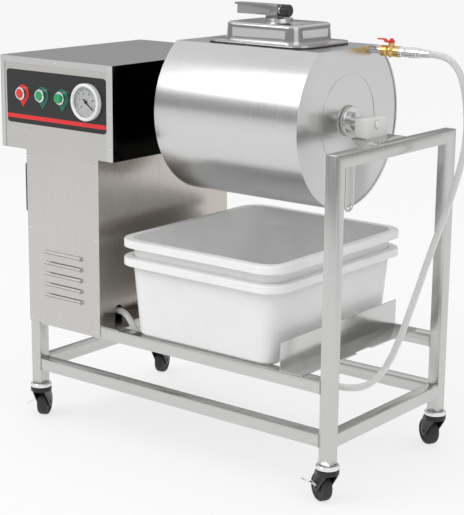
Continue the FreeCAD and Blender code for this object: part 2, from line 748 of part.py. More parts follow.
base = Piece((box_x + t, box_y + t, S.box_low))
wide_in = S.box_wide - 2 * t
deep_in = S.box_deep - t
tray = base.polygon("YZ", [(0, 0), (deep_in, 0), (deep_in, top_in), (deep_in - t, top_in),
                           (deep_in - t, t), (0, t)])
base.pad(tray, wide_in)
belt_hole = box((S.drive_from - S.pulley_wide / 2 - 8, axis_y - S.big_rad - S.belt_high - 12,
                 S.box_low - 1), (S.pulley_wide + 16, 2 * (S.big_rad + S.belt_high + 12), t + 2))
wire_hole = rod((40, axis_y, S.box_low - 1), 14, t + 2)
node(cut(base.body, belt_hole, wire_hole), "box_chassis")

panel_y = box_y + 2 * t
first_x = box_x + S.button_first
button_z = S.box_low + S.button_up
gauge_x = box_x + S.gauge_from_left
gauge_z = S.box_low + S.gauge_up
buttons_x = [first_x, first_x + S.button_pitch, first_x + 2 * S.button_pitch]
barrel = S.button_rad + 0.2
can_rad = S.gauge_rad - S.gauge_ring
front = Piece((box_x + t, panel_y, S.box_low + t))
front.pad(front.polygon("XZ", [(0, 0), (wide_in, 0), (wide_in, top_in - t), (0, top_in - t)]),
          t)
round_holes = [rod((x, panel_y - 3 * t, button_z), barrel + S.fit_gap, 6 * t, "Y")
               for x in buttons_x]
round_holes.append(rod((gauge_x, panel_y - 3 * t, gauge_z), can_rad + S.fit_gap, 6 * t, "Y"))
node(cut(front.body, *round_holes), "box_front")

# Black plate over the front plate.
shield_y = panel_y - t
shield = Piece((box_x + S.shield_left + S.shield_wide / 2, shield_y,
                S.box_low + S.shield_low + S.shield_high / 2))
shield.pad(shield.rounded("XZ", S.shield_wide / 2, S.shield_high / 2, 9), S.shield_thick)
holes = [rod((x, shield_y - 3, button_z), barrel + S.fit_gap, 6, "Y") for x in buttons_x]
holes.append(rod((gauge_x, shield_y - 3, gauge_z), can_rad + S.fit_gap, 6, "Y"))
node(cut(shield.body, *holes), "control_plate")
ring_y = shield_y - S.shield_thick

# Drop-shaped legend plates, one under each button.
tags = []
for x in buttons_x:
    tag = Piece((x, ring_y, button_z))
    disc = tag.pad(tag.circle("XZ", S.tag_rad), S.tag_thick)
    touch_z = -(S.tag_rad * S.tag_rad / S.tag_tip)
    touch_x = (S.tag_rad * S.tag_rad - touch_z * touch_z).root()
    drop = tag.polygon("XZ", [(-touch_x, touch_z), (0, -S.tag_tip), (touch_x, touch_z)])
    tag.pad(drop, S.tag_thick)
    tag.pocket(tag.circle("XZ", barrel + S.fit_gap), 4 * S.tag_thick, both=True)
    tags.append(tag.body)
node(group(*tags), "legend_plates")

# Push buttons: ring and barrel in one, contact block behind, sliding cap.
switches = []
ring_back = ring_y - S.tag_thick
through = panel_y - ring_back
for x in buttons_x:
    sw = Piece((x, ring_back, button_z))
    r0 = S.button_rad * 0.65 + S.run_gap
    r1 = S.button_rad + S.run_gap
    back = through + t + 26
    sw.turn(sw.polygon("XY", [(r0, back), (r0, -2), (r1, -2), (r1, 0.8 - S.bezel_out),
                              (r1 + 0.8, -S.bezel_out), (S.bezel_rad - 1.5, -S.bezel_out),
                              (S.bezel_rad, 1.5 - S.bezel_out), (S.bezel_rad, 0),
                              (barrel, 0), (barrel, through + S.fit_gap),
                              (S.bezel_rad - 1, through + S.fit_gap), (S.bezel_rad - 1, back)]),
            "Y")
    switches.append(sw.body)
node(group(*switches), "button_housings")
for x, name, proud in zip(buttons_x, ("button_stop", "button_start", "button_vacuum"),
                          (1.5, 1.5, 5.5)):
    cap = Piece((x, ring_back, button_z))
    r0 = S.button_rad * 0.65
    face = -S.bezel_out - proud
    neck = -2 - Size.of(5)
    cap.turn(cap.polygon("XY", [(0, face), (S.button_rad - 1, face), (S.button_rad, face + 1),
                                (S.button_rad, neck), (r0, neck), (r0, 14), (0, 14)]), "Y")
    node(cap.body, name)

# Vacuum gauge: case, dial, pointer on its spindle, glass.
case = Piece((gauge_x, ring_y, gauge_z))
out = S.gauge_out
ring_in = S.gauge_rad - S.gauge_ring
case.turn(case.polygon("XY", [(0, 30), (0, 27), (can_rad - 2, 27), (can_rad - 2, -out + 9),
                              (ring_in - 2, -out + 4), (ring_in, -out + 1.5),
                              (ring_in + 1.5, -out), (S.gauge_rad - 3, -out),
                              (S.gauge_rad, -out + 3), (S.gauge_rad, 0), (can_rad, 0),
                              (can_rad, 30)]), "Y")
dial_rad = can_rad - 2 - S.fit_gap
dial = Piece((gauge_x, ring_y, gauge_z))
dial_y = -out + 9
dial.turn(dial.polygon("XY", [(1.55, dial_y + 1), (dial_rad, dial_y + 1),
                              (dial_rad, dial_y + 2), (3, dial_y + 2), (3, 27 - S.fit_gap),
                              (1.55, 27 - S.fit_gap)]), "Y")
node(group(case.body, dial.body), "gauge_case")
needle = Piece((gauge_x, ring_y, gauge_z), (0, 1, 0), 40)
hub = needle.turn(needle.polygon("XY", [(0, dial_y - 2.5), (3.5, dial_y - 2.5),
                                        (3.5, dial_y + 0.6), (1.5, dial_y + 0.6),
                                        (1.5, dial_y + 10), (0, dial_y + 10)]), "Y")
blade = needle.polygon("XZ", [(-10, -1.6), (0, -1.6), (dial_rad - 7, -0.3),
                              (dial_rad - 7, 0.3), (0, 1.6), (-10, 1.6)], lift=-dial_y + 0.8)
needle.pad(blade, 1)
node(needle.body, "gauge_pointer")
glass = Piece((gauge_x, ring_y, gauge_z))
glass.turn(glass.polygon("XY", [(0, -out + 4), (ring_in - 2 - S.fit_gap, -out + 4),
                                (ring_in - 2 - S.fit_gap, -out + 5), (0, -out + 5)]), "Y")
node(glass.body, "gauge_glass")

# Contactor, timer and transformer on a rail at the back of the chassis.
rail_z = S.box_low + t
gear = [box((box_x + 30, box_y + S.box_deep - t - 45, rail_z), (150, 40, 8)),
        box((box_x + 36, box_y + S.box_deep - t - 60, rail_z + 8), (46, 55, 78)),
        box((box_x + 84, box_y + S.box_deep - t - 60, rail_z + 8), (24, 55, 78)),
        box((box_x + 112, box_y + S.box_deep - t - 60, rail_z + 8), (60, 55, 62))]
node(fuse(*gear), "control_gear")

# ---------------------------------------------------------------------------
# Drum: a cylinder with a flat on top, a mouth in the flat, end discs set in
# behind a bright rim, three mixing ribs inside and the vacuum nipple.
# ---------------------------------------------------------------------------
drum_x = S.drum_from
drum_end = S.drum_from + S.drum_long
flat_z = axis_z + S.flat_up
w = S.drum_wall


def d_prism(x, radius, long, flat):
    """A cylinder along X with a flat on its top side."""
    barrel_rod = rod((x, axis_y, axis_z), radius, long, "X")
    slab = box((x - 1, axis_y - S.drum_rad - 1, axis_z + flat),
               (long + 2, 2 * S.drum_rad + 2, S.drum_rad))
    return cut(barrel_rod, slab)


skin = d_prism(drum_x, S.drum_rad, S.drum_long, S.flat_up)
room = d_prism(drum_x + S.drum_rim + w, S.drum_rad - w, S.drum_long - 2 * (S.drum_rim + w),
               S.flat_up - w)
end_l = d_prism(drum_x - 1, S.drum_rad - 2 * w, S.drum_rim + 1, S.flat_up - 2 * w)
end_r = d_prism(drum_end - S.drum_rim, S.drum_rad - 2 * w, S.drum_rim + 1, S.flat_up - 2 * w)


def groove(x):
    return cut(rod((x, axis_y, axis_z), S.press_rad, 1, "X"),
               rod((x - 1, axis_y, axis_z), S.press_rad - 2.5, 3, "X"))


mouth = Piece((S.lid_mid, axis_y, flat_z - 4 * w))
mouth.pad(mouth.rounded("XY", S.mouth_long / 2, S.mouth_deep / 2, S.mouth_round), 8 * w)
nipple_y = axis_y + S.valve_back
nipple_z = axis_z + S.valve_up
disc_x = drum_end - S.drum_rim
nipple = rod((disc_x, nipple_y, nipple_z), S.pipe_rad, S.nipple_long + S.drum_rim, "X")
nipple_bore = rod((disc_x - 2 * w, nipple_y, nipple_z), S.pipe_rad - 3,
                  S.nipple_long + S.drum_rim + 4 * w, "X")
shell = cut(skin, room, end_l, end_r, mouth.body, groove(drum_x + S.drum_rim - 0.2),
            groove(disc_x - 0.8))
ribs = []
rib_len = S.drum_long - 2 * (S.drum_rim + w)
for turn_deg in (30, 150, 270):
    a = math.radians(turn_deg)
    out_r = S.drum_rad - w / 2 - S.rib_high
    # The rib's corner nearest the axis, turned with the rib.
    y = out_r * math.cos(a) + S.rib_thick / 2 * math.sin(a)
    z = out_r * math.sin(a) - S.rib_thick / 2 * math.cos(a)
    rib = doc.addObject("Part::Box", "Rib")
    bind(rib, "Length", rib_len)
    bind(rib, "Width", S.rib_high)
    bind(rib, "Height", S.rib_thick)
    place(rib, (drum_x + S.drum_rim + w, axis_y + y, axis_z + z), (1, 0, 0), turn_deg)
    ribs.append(rib)
node(cut(fuse(shell, nipple, *ribs), nipple_bore), "drum_shell")

hub = Piece((disc_x, axis_y, axis_z))
hub_end = S.hub_thick + S.drum_rim
tip = block_x + S.block_long + 3 - disc_x
hub.turn(hub.polygon("XZ", [(0, 0), (0, S.hub_rad), (hub_end - 1, S.hub_rad),
                            (hub_end, S.hub_rad - 1), (hub_end, S.shaft_rad * 2),
                            (hub_end + 8, S.shaft_rad * 2), (hub_end + 8, S.shaft_rad),
                            (tip - 1, S.shaft_rad), (tip, S.shaft_rad - 1), (tip, 0)]), "X")
node(hub.body, "drum_hub_right")

left_face = drum_x + S.drum_rim
belt_x = S.drive_from - S.pulley_wide / 2
drive = Piece((left_face, axis_y, axis_z))
tip = left_face - belt_x + 6
drive.turn(drive.polygon("XZ", [(0, 0), (0, S.hub_rad), (-hub_end + 1, S.hub_rad),
                                (-hub_end, S.hub_rad - 1), (-hub_end, S.shaft_rad * 2),
                                (-hub_end - 8, S.shaft_rad * 2), (-hub_end - 8, S.shaft_rad),
                                (-tip, S.shaft_rad), (-tip, 0)]), "X")
drum_shaft = drive.body

# Flange bearing on a bent stand inside the box.
stand_x = S.drive_from + S.pulley_wide / 2 + 14
stand = Piece((stand_x, axis_y, rail_z))
lift = axis_z - rail_z
stand.pad(stand.polygon("YZ", [(-52, 0), (52, 0), (52, 20), (36, lift + 36),
                               (-36, lift + 36), (-52, 20)]), 6)
stand.pad(stand.polygon("XY", [(6, -52), (46, -52), (46, 52), (6, 52)]), 6)
boss = stand.circle("YZ", S.hub_rad, lift=6, mid=(0, lift))
stand.pad(boss, 18)
stand.pocket(stand.circle("YZ", S.shaft_rad + S.run_gap, lift=-1, mid=(0, lift)), 60,
             back=True)
node(stand.body, "bearing_left")


def pulley(at, root, shaft):
    """Grooved V-belt pulley on its shaft."""
    half = S.pulley_wide / 2
    rim = root + S.belt_high
    p = Piece(at)
    low = S.belt_wide * 0.28
    high = S.belt_wide / 2 + S.fit_gap
    hole = shaft + S.run_gap
    p.turn(p.polygon("XZ", [(-half, hole), (-half, rim), (-high, rim), (-low, root),
                            (low, root), (high, rim), (half, rim), (half, hole)]), "X")
    return p.body


big = pulley((S.drive_from, axis_y, axis_z), S.big_rad, S.shaft_rad)
node(group(drum_shaft, big), "drum_shaft_left")
motor_shaft = S.shaft_rad * 0.9
small = pulley((S.drive_from, axis_y, S.motor_up), S.small_rad, motor_shaft)

drop = axis_z - S.motor_up
belt = Piece((S.drive_from, axis_y, axis_z))


def belt_loop(lift, extra):
    """Two arcs round the pulleys and the two straight runs between them."""
    sk = belt.sketch("YZ", lift)
    r1 = S.big_rad + extra
    r2 = S.small_rad + extra
    d = drop.value
    a = -math.asin((r1.value - r2.value) / d)
    n = V(math.cos(a), math.sin(a), 0)
    m = V(-n.x, n.y, 0)
    low = V(0, -d, 0)
    top_arc = Part.ArcOfCircle(Part.Circle(V(0, 0, 0), V(0, 0, 1), r1.value), a, math.pi - a)
    low_arc = Part.ArcOfCircle(Part.Circle(low, V(0, 0, 1), r2.value), math.pi - a,
                               2 * math.pi + a)
    sk.addGeometry(top_arc, False)
    sk.addGeometry(Part.LineSegment(m * r1.value, low + m * r2.value), False)
    sk.addGeometry(low_arc, False)
    sk.addGeometry(Part.LineSegment(low + n * r2.value, n * r1.value), False)
    for i in range(4):
        sk.addConstraint(Sketcher.Constraint("Tangent", i, 2, (i + 1) % 4, 1))
    Piece.pin(sk, 0, 3, 0, 0)
    Piece.pin(sk, 2, 3, 0, -drop)
    for g, r in ((0, r1), (2, r2)):
        i = sk.addConstraint(Sketcher.Constraint("Radius", g, r.value))
        sk.setExpression("Constraints[%d]" % i, r.text)
    return sk


belt_half = S.belt_wide * 0.25
belt.pad(belt_loop(-belt_half, S.belt_high), 2 * belt_half)
belt.pocket(belt_loop(-S.belt_wide, Size.of(S.fit_gap)), S.belt_wide * 3, back=True)
node(belt.body, "drive_belt")

# Worm gear motor on a shelf inside the cabinet.
shelf_z = S.motor_up - 62
shelf = Piece((0, 0, shelf_z))
shelf_w = S.cab_wide - S.sheet
shelf.pad(shelf.polygon("XZ", [(0, -20), (2, -20), (2, -2), (shelf_w - 2, -2),
                               (shelf_w - 2, -20), (shelf_w, -20), (shelf_w, 0), (0, 0)]),
          S.frame_deep - 30, back=True)
node(cut(shelf.body, box((-1, -1, shelf_z - 25), (shelf_w + 2, 51, 30)),
         box((-1, S.frame_deep - 50, shelf_z - 25), (shelf_w + 2, 60, 30))), "motor_shelf")
case_x = belt_x - 14 - 78
case_mid = case_x + 39
housing = box((case_x, axis_y - 50, shelf_z), (78, 100, 116))
output = rod((case_x + 78, axis_y, S.motor_up), 24, 8, "X")
spindle = rod((case_x + 86 + S.fit_gap, axis_y, S.motor_up), motor_shaft,
              belt_x + S.pulley_wide - case_x - 86 - S.fit_gap, "X")
can = rod((case_mid, axis_y + 50, S.motor_up), S.motor_rad, 130, "Y")
tail = cone((case_mid, axis_y + 180, S.motor_up), S.motor_rad, S.motor_rad - 8, 22, "Y")
node(fuse(housing, output, can, tail), "gear_motor")
node(group(small, spindle), "motor_pulley")

# Vacuum pump on the cabinet floor.
pump_x = S.cab_wide / 2 - 6
pump_z = floor_top + S.pump_rad + 12
port_x = S.cab_wide - 18
port_y = S.slot_mid + 4
port_z = floor_top + 23.5
foot = box((pump_x - 60, port_y + 20, floor_top), (120, 300, 6))
saddle = box((pump_x - 40, port_y + 60, floor_top + 6), (80, 200, pump_z - floor_top - 6))
body = rod((pump_x, port_y + 60, pump_z), S.pump_rad, 220, "Y")
head = box((pump_x - 48, port_y - 22, floor_top + 6), (96, 84, 96))
inlet = rod((pump_x + 40, port_y, port_z), S.hose_rad + 1.5, port_x - pump_x - 40, "X")
node(fuse(foot, saddle, body, head, inlet), "vacuum_pump")

# ---------------------------------------------------------------------------
# Lid: gasket, deep-drawn cover with pressed panels, handle and vent knob.
# ---------------------------------------------------------------------------
seal = Piece((S.lid_mid, axis_y, flat_z))
seal.pad(seal.rounded("XY", S.lid_long / 2 - 1, S.lid_deep / 2 - 1, S.lid_round - 1),
         S.gasket_thick)
seal.pocket(seal.rounded("XY", S.mouth_long / 2 + 2, S.mouth_deep / 2 + 2, S.mouth_round + 2),
            4 * S.gasket_thick, both=True)
node(seal.body, "lid_gasket")

w = S.lid_wall
draw = Size.of(4)
lid_z = flat_z + S.gasket_thick
lid = Piece((S.lid_mid, axis_y, lid_z))
dx = S.dome_long / 2
dy = S.dome_deep / 2
dr = S.dome_round
top = S.lid_flange + S.dome_high
lid.pad(lid.rounded("XY", S.lid_long / 2, S.lid_deep / 2, S.lid_round), S.lid_flange)
dome = lid.loft([lid.rounded("XY", dx, dy, dr, lift=S.lid_flange),
                 lid.rounded("XY", dx - draw, dy - draw, dr - draw, lift=top)])
soft = lid.soften(dome, at_height((S.lid_flange + S.dome_high).value), 7)
seat_pad = lid.pad(lid.circle("XY", S.pedestal_rad, lift=top), S.pedestal_high)
press_z = S.lid_flange + S.dome_high / 2 - 1
press = lid.sketch("XZ", dy - draw / 2 - S.emboss)
pz = [(-dx + dr, press_z - 9), (dx - dr, press_z - 9), (dx - dr, press_z + 9),
      (-dx + dr, press_z + 9)]


def loop(sk, pts):
    pts = [(Size.of(a), Size.of(b)) for a, b in pts]
    n = len(pts)
    for i in range(n):
        a, b = pts[i], pts[(i + 1) % n]
        sk.addGeometry(Part.LineSegment(V(a[0].value, a[1].value, 0),
                                        V(b[0].value, b[1].value, 0)), False)
    for i in range(n):
        sk.addConstraint(Sketcher.Constraint("Coincident", i, 2, (i + 1) % n, 1))
    for i in range(n):
        Piece.pin(sk, i, 1, *pts[i])
    return sk


lid.pocket(loop(press, pz), 10, back=True)
press = lid.sketch("YZ", dx - draw / 2 - S.emboss)
lid.pocket(loop(press, [(-dy + dr, press_z - 9), (dy - dr, press_z - 9),
                        (dy - dr, press_z + 9), (-dy + dr, press_z + 9)]), 10, back=True)
lid.loft([lid.rounded("XY", dx - w, dy - w, dr - w, lift=-1),
          lid.rounded("XY", dx - draw - w, dy - draw - w, dr - draw - w, lift=top - w)],
         cutting=True)
node(lid.body, "lid")

handle_z = lid_z + top + S.pedestal_high
post_right = S.lid_mid + 4
post_left = post_right - S.post_long
grip_left = post_right - S.handle_long
hd = S.handle_deep
neck = Piece((post_right, axis_y, handle_z))
side_view = [(-S.post_long, 0), (0, 0), (0, S.post_high), (-S.handle_long, S.post_high),
             (-S.handle_long, S.post_high - 4), (-S.handle_long + 8, S.post_high - 4),
             (-S.handle_long + 8, S.post_high - 4 - S.handle_high),
             (-S.post_long, S.post_high - 4 - S.handle_high)]
grip = neck.pad(neck.polygon("XZ", side_view), hd, both=True)
neck.soften(grip, lines_along((0, 0, 1)), 3)
knob_z = S.post_high - 13
bore_hole = neck.circle("YZ", 5 + S.run_gap, lift=1, mid=(0, knob_z))
neck.pocket(bore_hole, 20)
collar = Piece((post_right, axis_y, handle_z + knob_z))
collar.turn(collar.polygon("XZ", [(0, 5 + S.run_gap), (0, 12), (5, 12), (6, 11),
                                  (6, 5 + S.run_gap)]), "X")
node(group(neck.body, collar.body), "lid_handle")
knob = Piece((post_right, axis_y, handle_z + knob_z))
kx = 6 + S.fit_gap
kr = S.knob_rad
grip_turn = knob.turn(knob.polygon("XZ", [(-15, 0), (-15, 5), (kx, 5), (kx, kr - 1),
                                          (kx + 1, kr), (kx + S.knob_long - 2, kr),
                                          (kx + S.knob_long, kr - 2),
                                          (kx + S.knob_long, 0)]), "X")
flute = knob.circle("YZ", 1.2, lift=kx - 1, mid=(0, kr + 0.4))
flute_cut = knob.pocket(flute, S.knob_long + 2, back=True)
knob.around([flute_cut], "X", 18)
node(knob.body, "vent_knob")

# ---------------------------------------------------------------------------
# Vacuum valve on the drum, quick coupling, and the hose that plugs into it.
# ---------------------------------------------------------------------------
valve_x = drum_end + S.nipple_long
valve = Piece((valve_x, nipple_y, nipple_z))
vl = S.valve_long
hx = S.valve_hex
bore_r = S.pipe_rad - 3
ball = valve.turn(valve.polygon("XZ", [(0, bore_r), (0, hx), (13, hx), (15, hx - 2),
                                       (18, hx - 1), (22, hx + 1.5), (vl - 22, hx + 1.5),
                                       (vl - 18, hx - 1), (vl - 15, hx - 2), (vl - 13, hx),
                                       (vl, hx), (vl, bore_r)]), "X")
stem_r = 4
stem_x = vl / 2
valve.pad(valve.circle("XY", 7, lift=hx - 2, mid=(stem_x, 0)), 8)
node(valve.body, "valve_body")
lever = Piece((valve_x + stem_x, nipple_y, nipple_z + hx + 6 + S.fit_gap))
lever.pad(lever.circle("XY", 7), 5)
arm = lever.polygon("XZ", [(0, 0), (0, 3), (-12, 3), (-18, 8), (-34, 8), (-34, 5.5), (-19, 5.5),
                           (-13, 0)])
lever.pad(arm, 12, both=True)
lever.pad(lever.circle("XY", 4.5, lift=5), 4)
node(lever.body, "valve_lever")

plug_x = valve_x + vl
plug = Piece((plug_x, nipple_y, nipple_z))
pl = S.plug_long
plug.turn(plug.polygon("XZ", [(0, bore_r), (0, 11.5), (6, 11.5), (7, 10.5), (pl, 10.5),
                              (pl, bore_r)]), "X")
node(plug.body, "hose_plug")
socket_x = plug_x + pl + S.fit_gap
socket = Piece((socket_x, nipple_y, nipple_z))
so = S.socket_long
fe = so + S.ferrule_long
socket.turn(socket.polygon("XZ", [(0, bore_r), (0, 10.5), (1, 11), (8, 11), (9, 12), (so - 8, 12),
                                  (so - 7, 11), (so, 11), (so, S.hose_rad + 1.5), (fe, 9),
                                  (fe, bore_r)]), "X")
node(socket.body, "hose_socket")

# The hose's route, from the coupling to the pump.  These points stay as chosen.
hose_x = socket_x + fe
route = [
    (hose_x.value, nipple_y.value, nipple_z.value),
    (940.3, 343.5, 948.5), (971.8, 343.5, 927.3), (989.3, 344.7, 891.4), (990, 366, 822),
    (985, 374, 745), (971, 348, 640), (956, 297, 530), (942, 233, 388), (930, 183, 290),
    (913, 133, 246), (888, 82, 246), (838, 54, 258), (745, 46, 262), (600, 58, 259),
    (465, 47, 262), (388, 45, 260), (345, 44, 261), (321, 43, 264), (304, 43, 281),
    (286, 47, 298), (262, 58, 306), (238, 68, 306),
    (port_x.value, port_y.value, port_z.value),
]
points = [V(*q) for q in route]
edges = []
here = points[0]
bends = []
for a, b, c in zip(points, points[1:], points[2:]):
    u = (b - a).normalize()
    v = (c - b).normalize()
    cut_back = 0.45 * min((b - a).Length, (c - b).Length)
    half_turn = u.getAngle(v) / 2
    bends.append(round(cut_back / math.tan(half_turn), 1))
    p0 = b - u * cut_back
    p2 = b + v * cut_back
    inward = (v - u).normalize()
    mid = b + inward * (cut_back / math.tan(half_turn)) * (1 / math.cos(half_turn) - 1)
    edges.append(Part.LineSegment(here, p0).toShape())
    edges.append(Part.Arc(p0, mid, p2).toShape())
    here = p2
edges.append(Part.LineSegment(here, points[-1]).toShape())
path = Part.Wire(edges)
first = (points[1] - points[0]).normalize()
ring = Part.Wire([Part.Circle(points[0], first, S.hose_rad.value).toShape()])
tube = path.makePipeShell([ring], True, False)
hose = doc.addObject("Part::Feature", "Hose")
hose.Shape = tube
place(hose, (0, 0, 0))
node(hose, "hose")
wanted = math.pi * S.hose_rad.value ** 2 * path.Length
print("hose radii", bends, "volume ratio", round(tube.Volume / wanted, 4))

# ---------------------------------------------------------------------------
# Casters: a fixed ball race under each leg, a fork that swivels in it, a
# wheel on its axle, and on the two front ones a brake tab at the side.
# ---------------------------------------------------------------------------
race = S.race_high
pin_r = 5
fork_top = S.leg_foot - race - S.fit_gap
half_leg = S.tube / 2
corners = {
    "fl": (half_leg, half_leg, S.heading_fl), "fr": (right_leg + half_leg, half_leg,
                                                     S.heading_fr),
    "bl": (half_leg, back_leg + half_leg, S.heading_bl),
    "br": (right_leg + half_leg, back_leg + half_leg, S.heading_br),
}
cups = []
for x, y, _ in corners.values():
    cup = Piece((x, y, S.leg_foot - race))
    cup.turn(cup.polygon("XZ", [(pin_r + S.run_gap, 0), (S.ring_rad - 1.5, 0),
                                (S.ring_rad, 1.5), (S.ring_rad, race - 2.5),
                                (S.ring_rad - 2.5, race), (0, race), (0, race - 2),
                                (pin_r + S.run_gap, race - 2)]), "Z")
    cups.append(cup.body)
node(group(*cups), "caster_races")

gap_in = S.wheel_wide / 2 + 1
plate_t = S.fork_plate
crown_low = fork_top - race - plate_t
for name, (x, y, heading) in corners.items():
    fork = Piece((x, y, 0), (0, 0, 1), heading.value)
    ring_sk = fork.circle("XY", S.ring_rad, lift=fork_top - race)
    fork.pad(ring_sk, race)
    neck_sk = fork.circle("XY", pin_r, lift=fork_top)
    fork.pad(neck_sk, race - 2.5)
    crown = fork.polygon("XY", [(-S.ring_rad * 0.7, -gap_in - plate_t),
                                (S.trail + 4, -gap_in - plate_t),
                                (S.trail + 4, gap_in + plate_t),
                                (-S.ring_rad * 0.7, gap_in + plate_t)], lift=crown_low)
    fork.pad(crown, plate_t)
    arm_pts = [(-S.ring_rad * 0.7, crown_low + plate_t), (-S.ring_rad * 0.7, crown_low - 2),
               (S.trail - 11, S.wheel_rad - 4), (S.trail - 5, S.wheel_rad - 10),
               (S.trail + 5, S.wheel_rad - 10), (S.trail + 11, S.wheel_rad - 4),
               (S.trail + 12, S.wheel_rad + 6), (S.trail + 4, crown_low + plate_t)]
    for side in (gap_in, -gap_in - plate_t):
        sk = fork.sketch("XZ", -side)
        fork.pad(loop(sk, arm_pts), plate_t, back=True)
    axle = fork.circle("XZ", S.axle_rad, lift=-(gap_in + plate_t + 1.5), mid=(S.trail, S.wheel_rad))
    fork.pad(axle, 2 * (gap_in + plate_t + 1.5))
    node(fork.body, "caster_fork_" + name)
    wheel = Piece((x + S.trail * cosd(heading), y + S.trail * sind(heading), S.wheel_rad),
                  (0, 0, 1), heading.value)
    ww = S.wheel_wide / 2
    wr = S.wheel_rad
    wheel.turn(wheel.polygon("XY", [(S.axle_rad + S.run_gap, -ww), (11, -ww), (12.5, 2.5 - ww),
                                    (wr - 10, 2.5 - ww), (wr - 8, -ww + 0.5), (wr - 2.5, -ww + 1.5),
                                    (wr - 0.5, 4 - ww), (wr, 8 - ww), (wr, ww - 8),
                                    (wr - 0.5, ww - 4), (wr - 2.5, ww - 1.5), (wr - 8, ww - 0.5),
                                    (wr - 10, ww - 2.5), (12.5, ww - 2.5), (11, ww),
                                    (S.axle_rad + S.run_gap, ww)]), "Y")
    node(wheel.body, "caster_wheel_" + name)

# Brake tabs hinge on the forks' left plates and swing up and down.
for name, lean in (("fl", S.tab_on), ("fr", S.tab_off)):
    x, y, heading = corners[name]
    out_y = gap_in + plate_t + S.fit_gap + 3.2
    px = x + S.trail * cosd(heading) - out_y * sind(heading)
    py = y + S.trail * sind(heading) + out_y * cosd(heading)
    tab = Piece((px, py, S.tab_up))
    half = S.tab_wide / 2
    long = S.tab_long
    tab.pad(tab.circle("YZ", 3), half, both=False)
    tab.pad(tab.circle("YZ", 3), half, back=True)
    tab.pad(tab.polygon("XY", [(-half, 0), (half, 0), (half * 1.1, long * 0.55),
                               (half * 0.75, long), (-half * 0.75, long),
                               (-half * 1.1, long * 0.55)], lift=-1), 2)
    turn_z = FreeCAD.Rotation(V(0, 0, 1), heading.value)
    turn_x = FreeCAD.Rotation(V(1, 0, 0), lean.value)
    tab.body.Placement = FreeCAD.Placement(tab.body.Placement.Base, turn_z.multiply(turn_x))
    node(tab.body, "caster_brake_" + name)

# ---------------------------------------------------------------------------
# Two nested tubs: drawn walls that widen upwards and a turned-down rim.
# ---------------------------------------------------------------------------
tub_mid = S.stop_left - S.tub_from_stop - S.tub_long / 2
for name, up in (("tub_lower", Size.of(0)), ("tub_upper", S.tub_nest)):
    tub = Piece((tub_mid, axis_y, shelf_top + up))
    bx = S.tub_long / 2
    by = (S.frame_deep - S.tub_inset) / 2
    tx = bx + S.tub_flare_x
    ty = by + S.tub_flare_y
    rb = S.tub_corner
    rt = rb + 8
    th = S.tub_high
    w = S.tub_wall
    foot = S.tub_foot
    outer = tub.loft([tub.rounded("XY", bx - foot, by - foot, rb - foot),
                      tub.rounded("XY", bx, by, rb, lift=foot),
                      tub.rounded("XY", tx, ty, rt, lift=th)])
    hollow = Piece((tub_mid, axis_y, shelf_top + up))
    hollow.loft([hollow.rounded("XY", bx - foot - w, by - foot - w, rb - foot - w, lift=w),
                 hollow.rounded("XY", bx - w, by - w, rb - w, lift=foot + w),
                 hollow.rounded("XY", tx - w, ty - w, rt - w, lift=th)])
    # Rim: a ledge round the mouth with its edge turned down.
    lip_x = tx + S.tub_lip
    lip_y = ty + S.tub_lip
    lip_r = rt + S.tub_lip * 0.7
    rim = Piece((tub_mid, axis_y, shelf_top + up + th))
    ledge = rim.pad(rim.rounded("XY", lip_x, lip_y, lip_r), S.tub_rim, back=True)
    rim.soften(ledge, at_height(0.0), 4)
    rim.pocket(rim.rounded("XY", lip_x - w, lip_y - w, lip_r - w, lift=-w), 2 * S.tub_rim)
    rim.pocket(rim.rounded("XY", tx - w, ty - w, rt - w, lift=1), 2 * S.tub_rim)
    node(fuse(cut(tub.body, hollow.body), rim.body), name)

# Pan head screws of the cabinet's front, its right side and the box's edges.
heads = []
scr = S.screw_rad
z_mid = (S.box_low + S.cab_skirt) / 2
for x in (8, S.cab_wide - 10):
    for z in (S.cab_skirt + 10, z_mid + 20, S.box_low - 17):
        heads.append(cone((x, -S.sheet - 2, z), scr - 1.4, scr, 2, "Y"))
for x, z in ((S.edge_left + 14, 7.5), (S.box_wide / 2, 7.5), (S.box_wide - 10, 7.5),
             (S.box_wide - 10, S.box_high / 2), (S.box_wide - 10, S.box_high - 30)):
    heads.append(cone((box_x + x, box_y - 2, S.box_low + S.box_high - z), scr - 1.4, scr, 2,
                      "Y"))
node(group(*heads), "panel_screws")

# ---------------------------------------------------------------------------
# Every object is sound, and every sub-part is one or more closed solids.
# ---------------------------------------------------------------------------
doc.recompute()
faults = [o.Label + " " + str(o.State) for o in doc.Objects
          if "Invalid" in o.State or "Error" in o.State]
for o in NODES:
    if o.Shape.isNull() or not o.Shape.isValid() or not o.Shape.Solids:
        faults.append(o.Label + " shape")
if faults:
    raise RuntimeError("; ".join(faults))
os.makedirs("parts", exist_ok=True)
for o in NODES:
    o.Shape.exportStep("parts/" + o.Label + ".step")
print(len(NODES), "sub-parts")
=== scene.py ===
"""Meat vacuum tumbler: the finish of each piece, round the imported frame."""
import math

import bpy
import numpy as np
from mathutils import Matrix, Vector


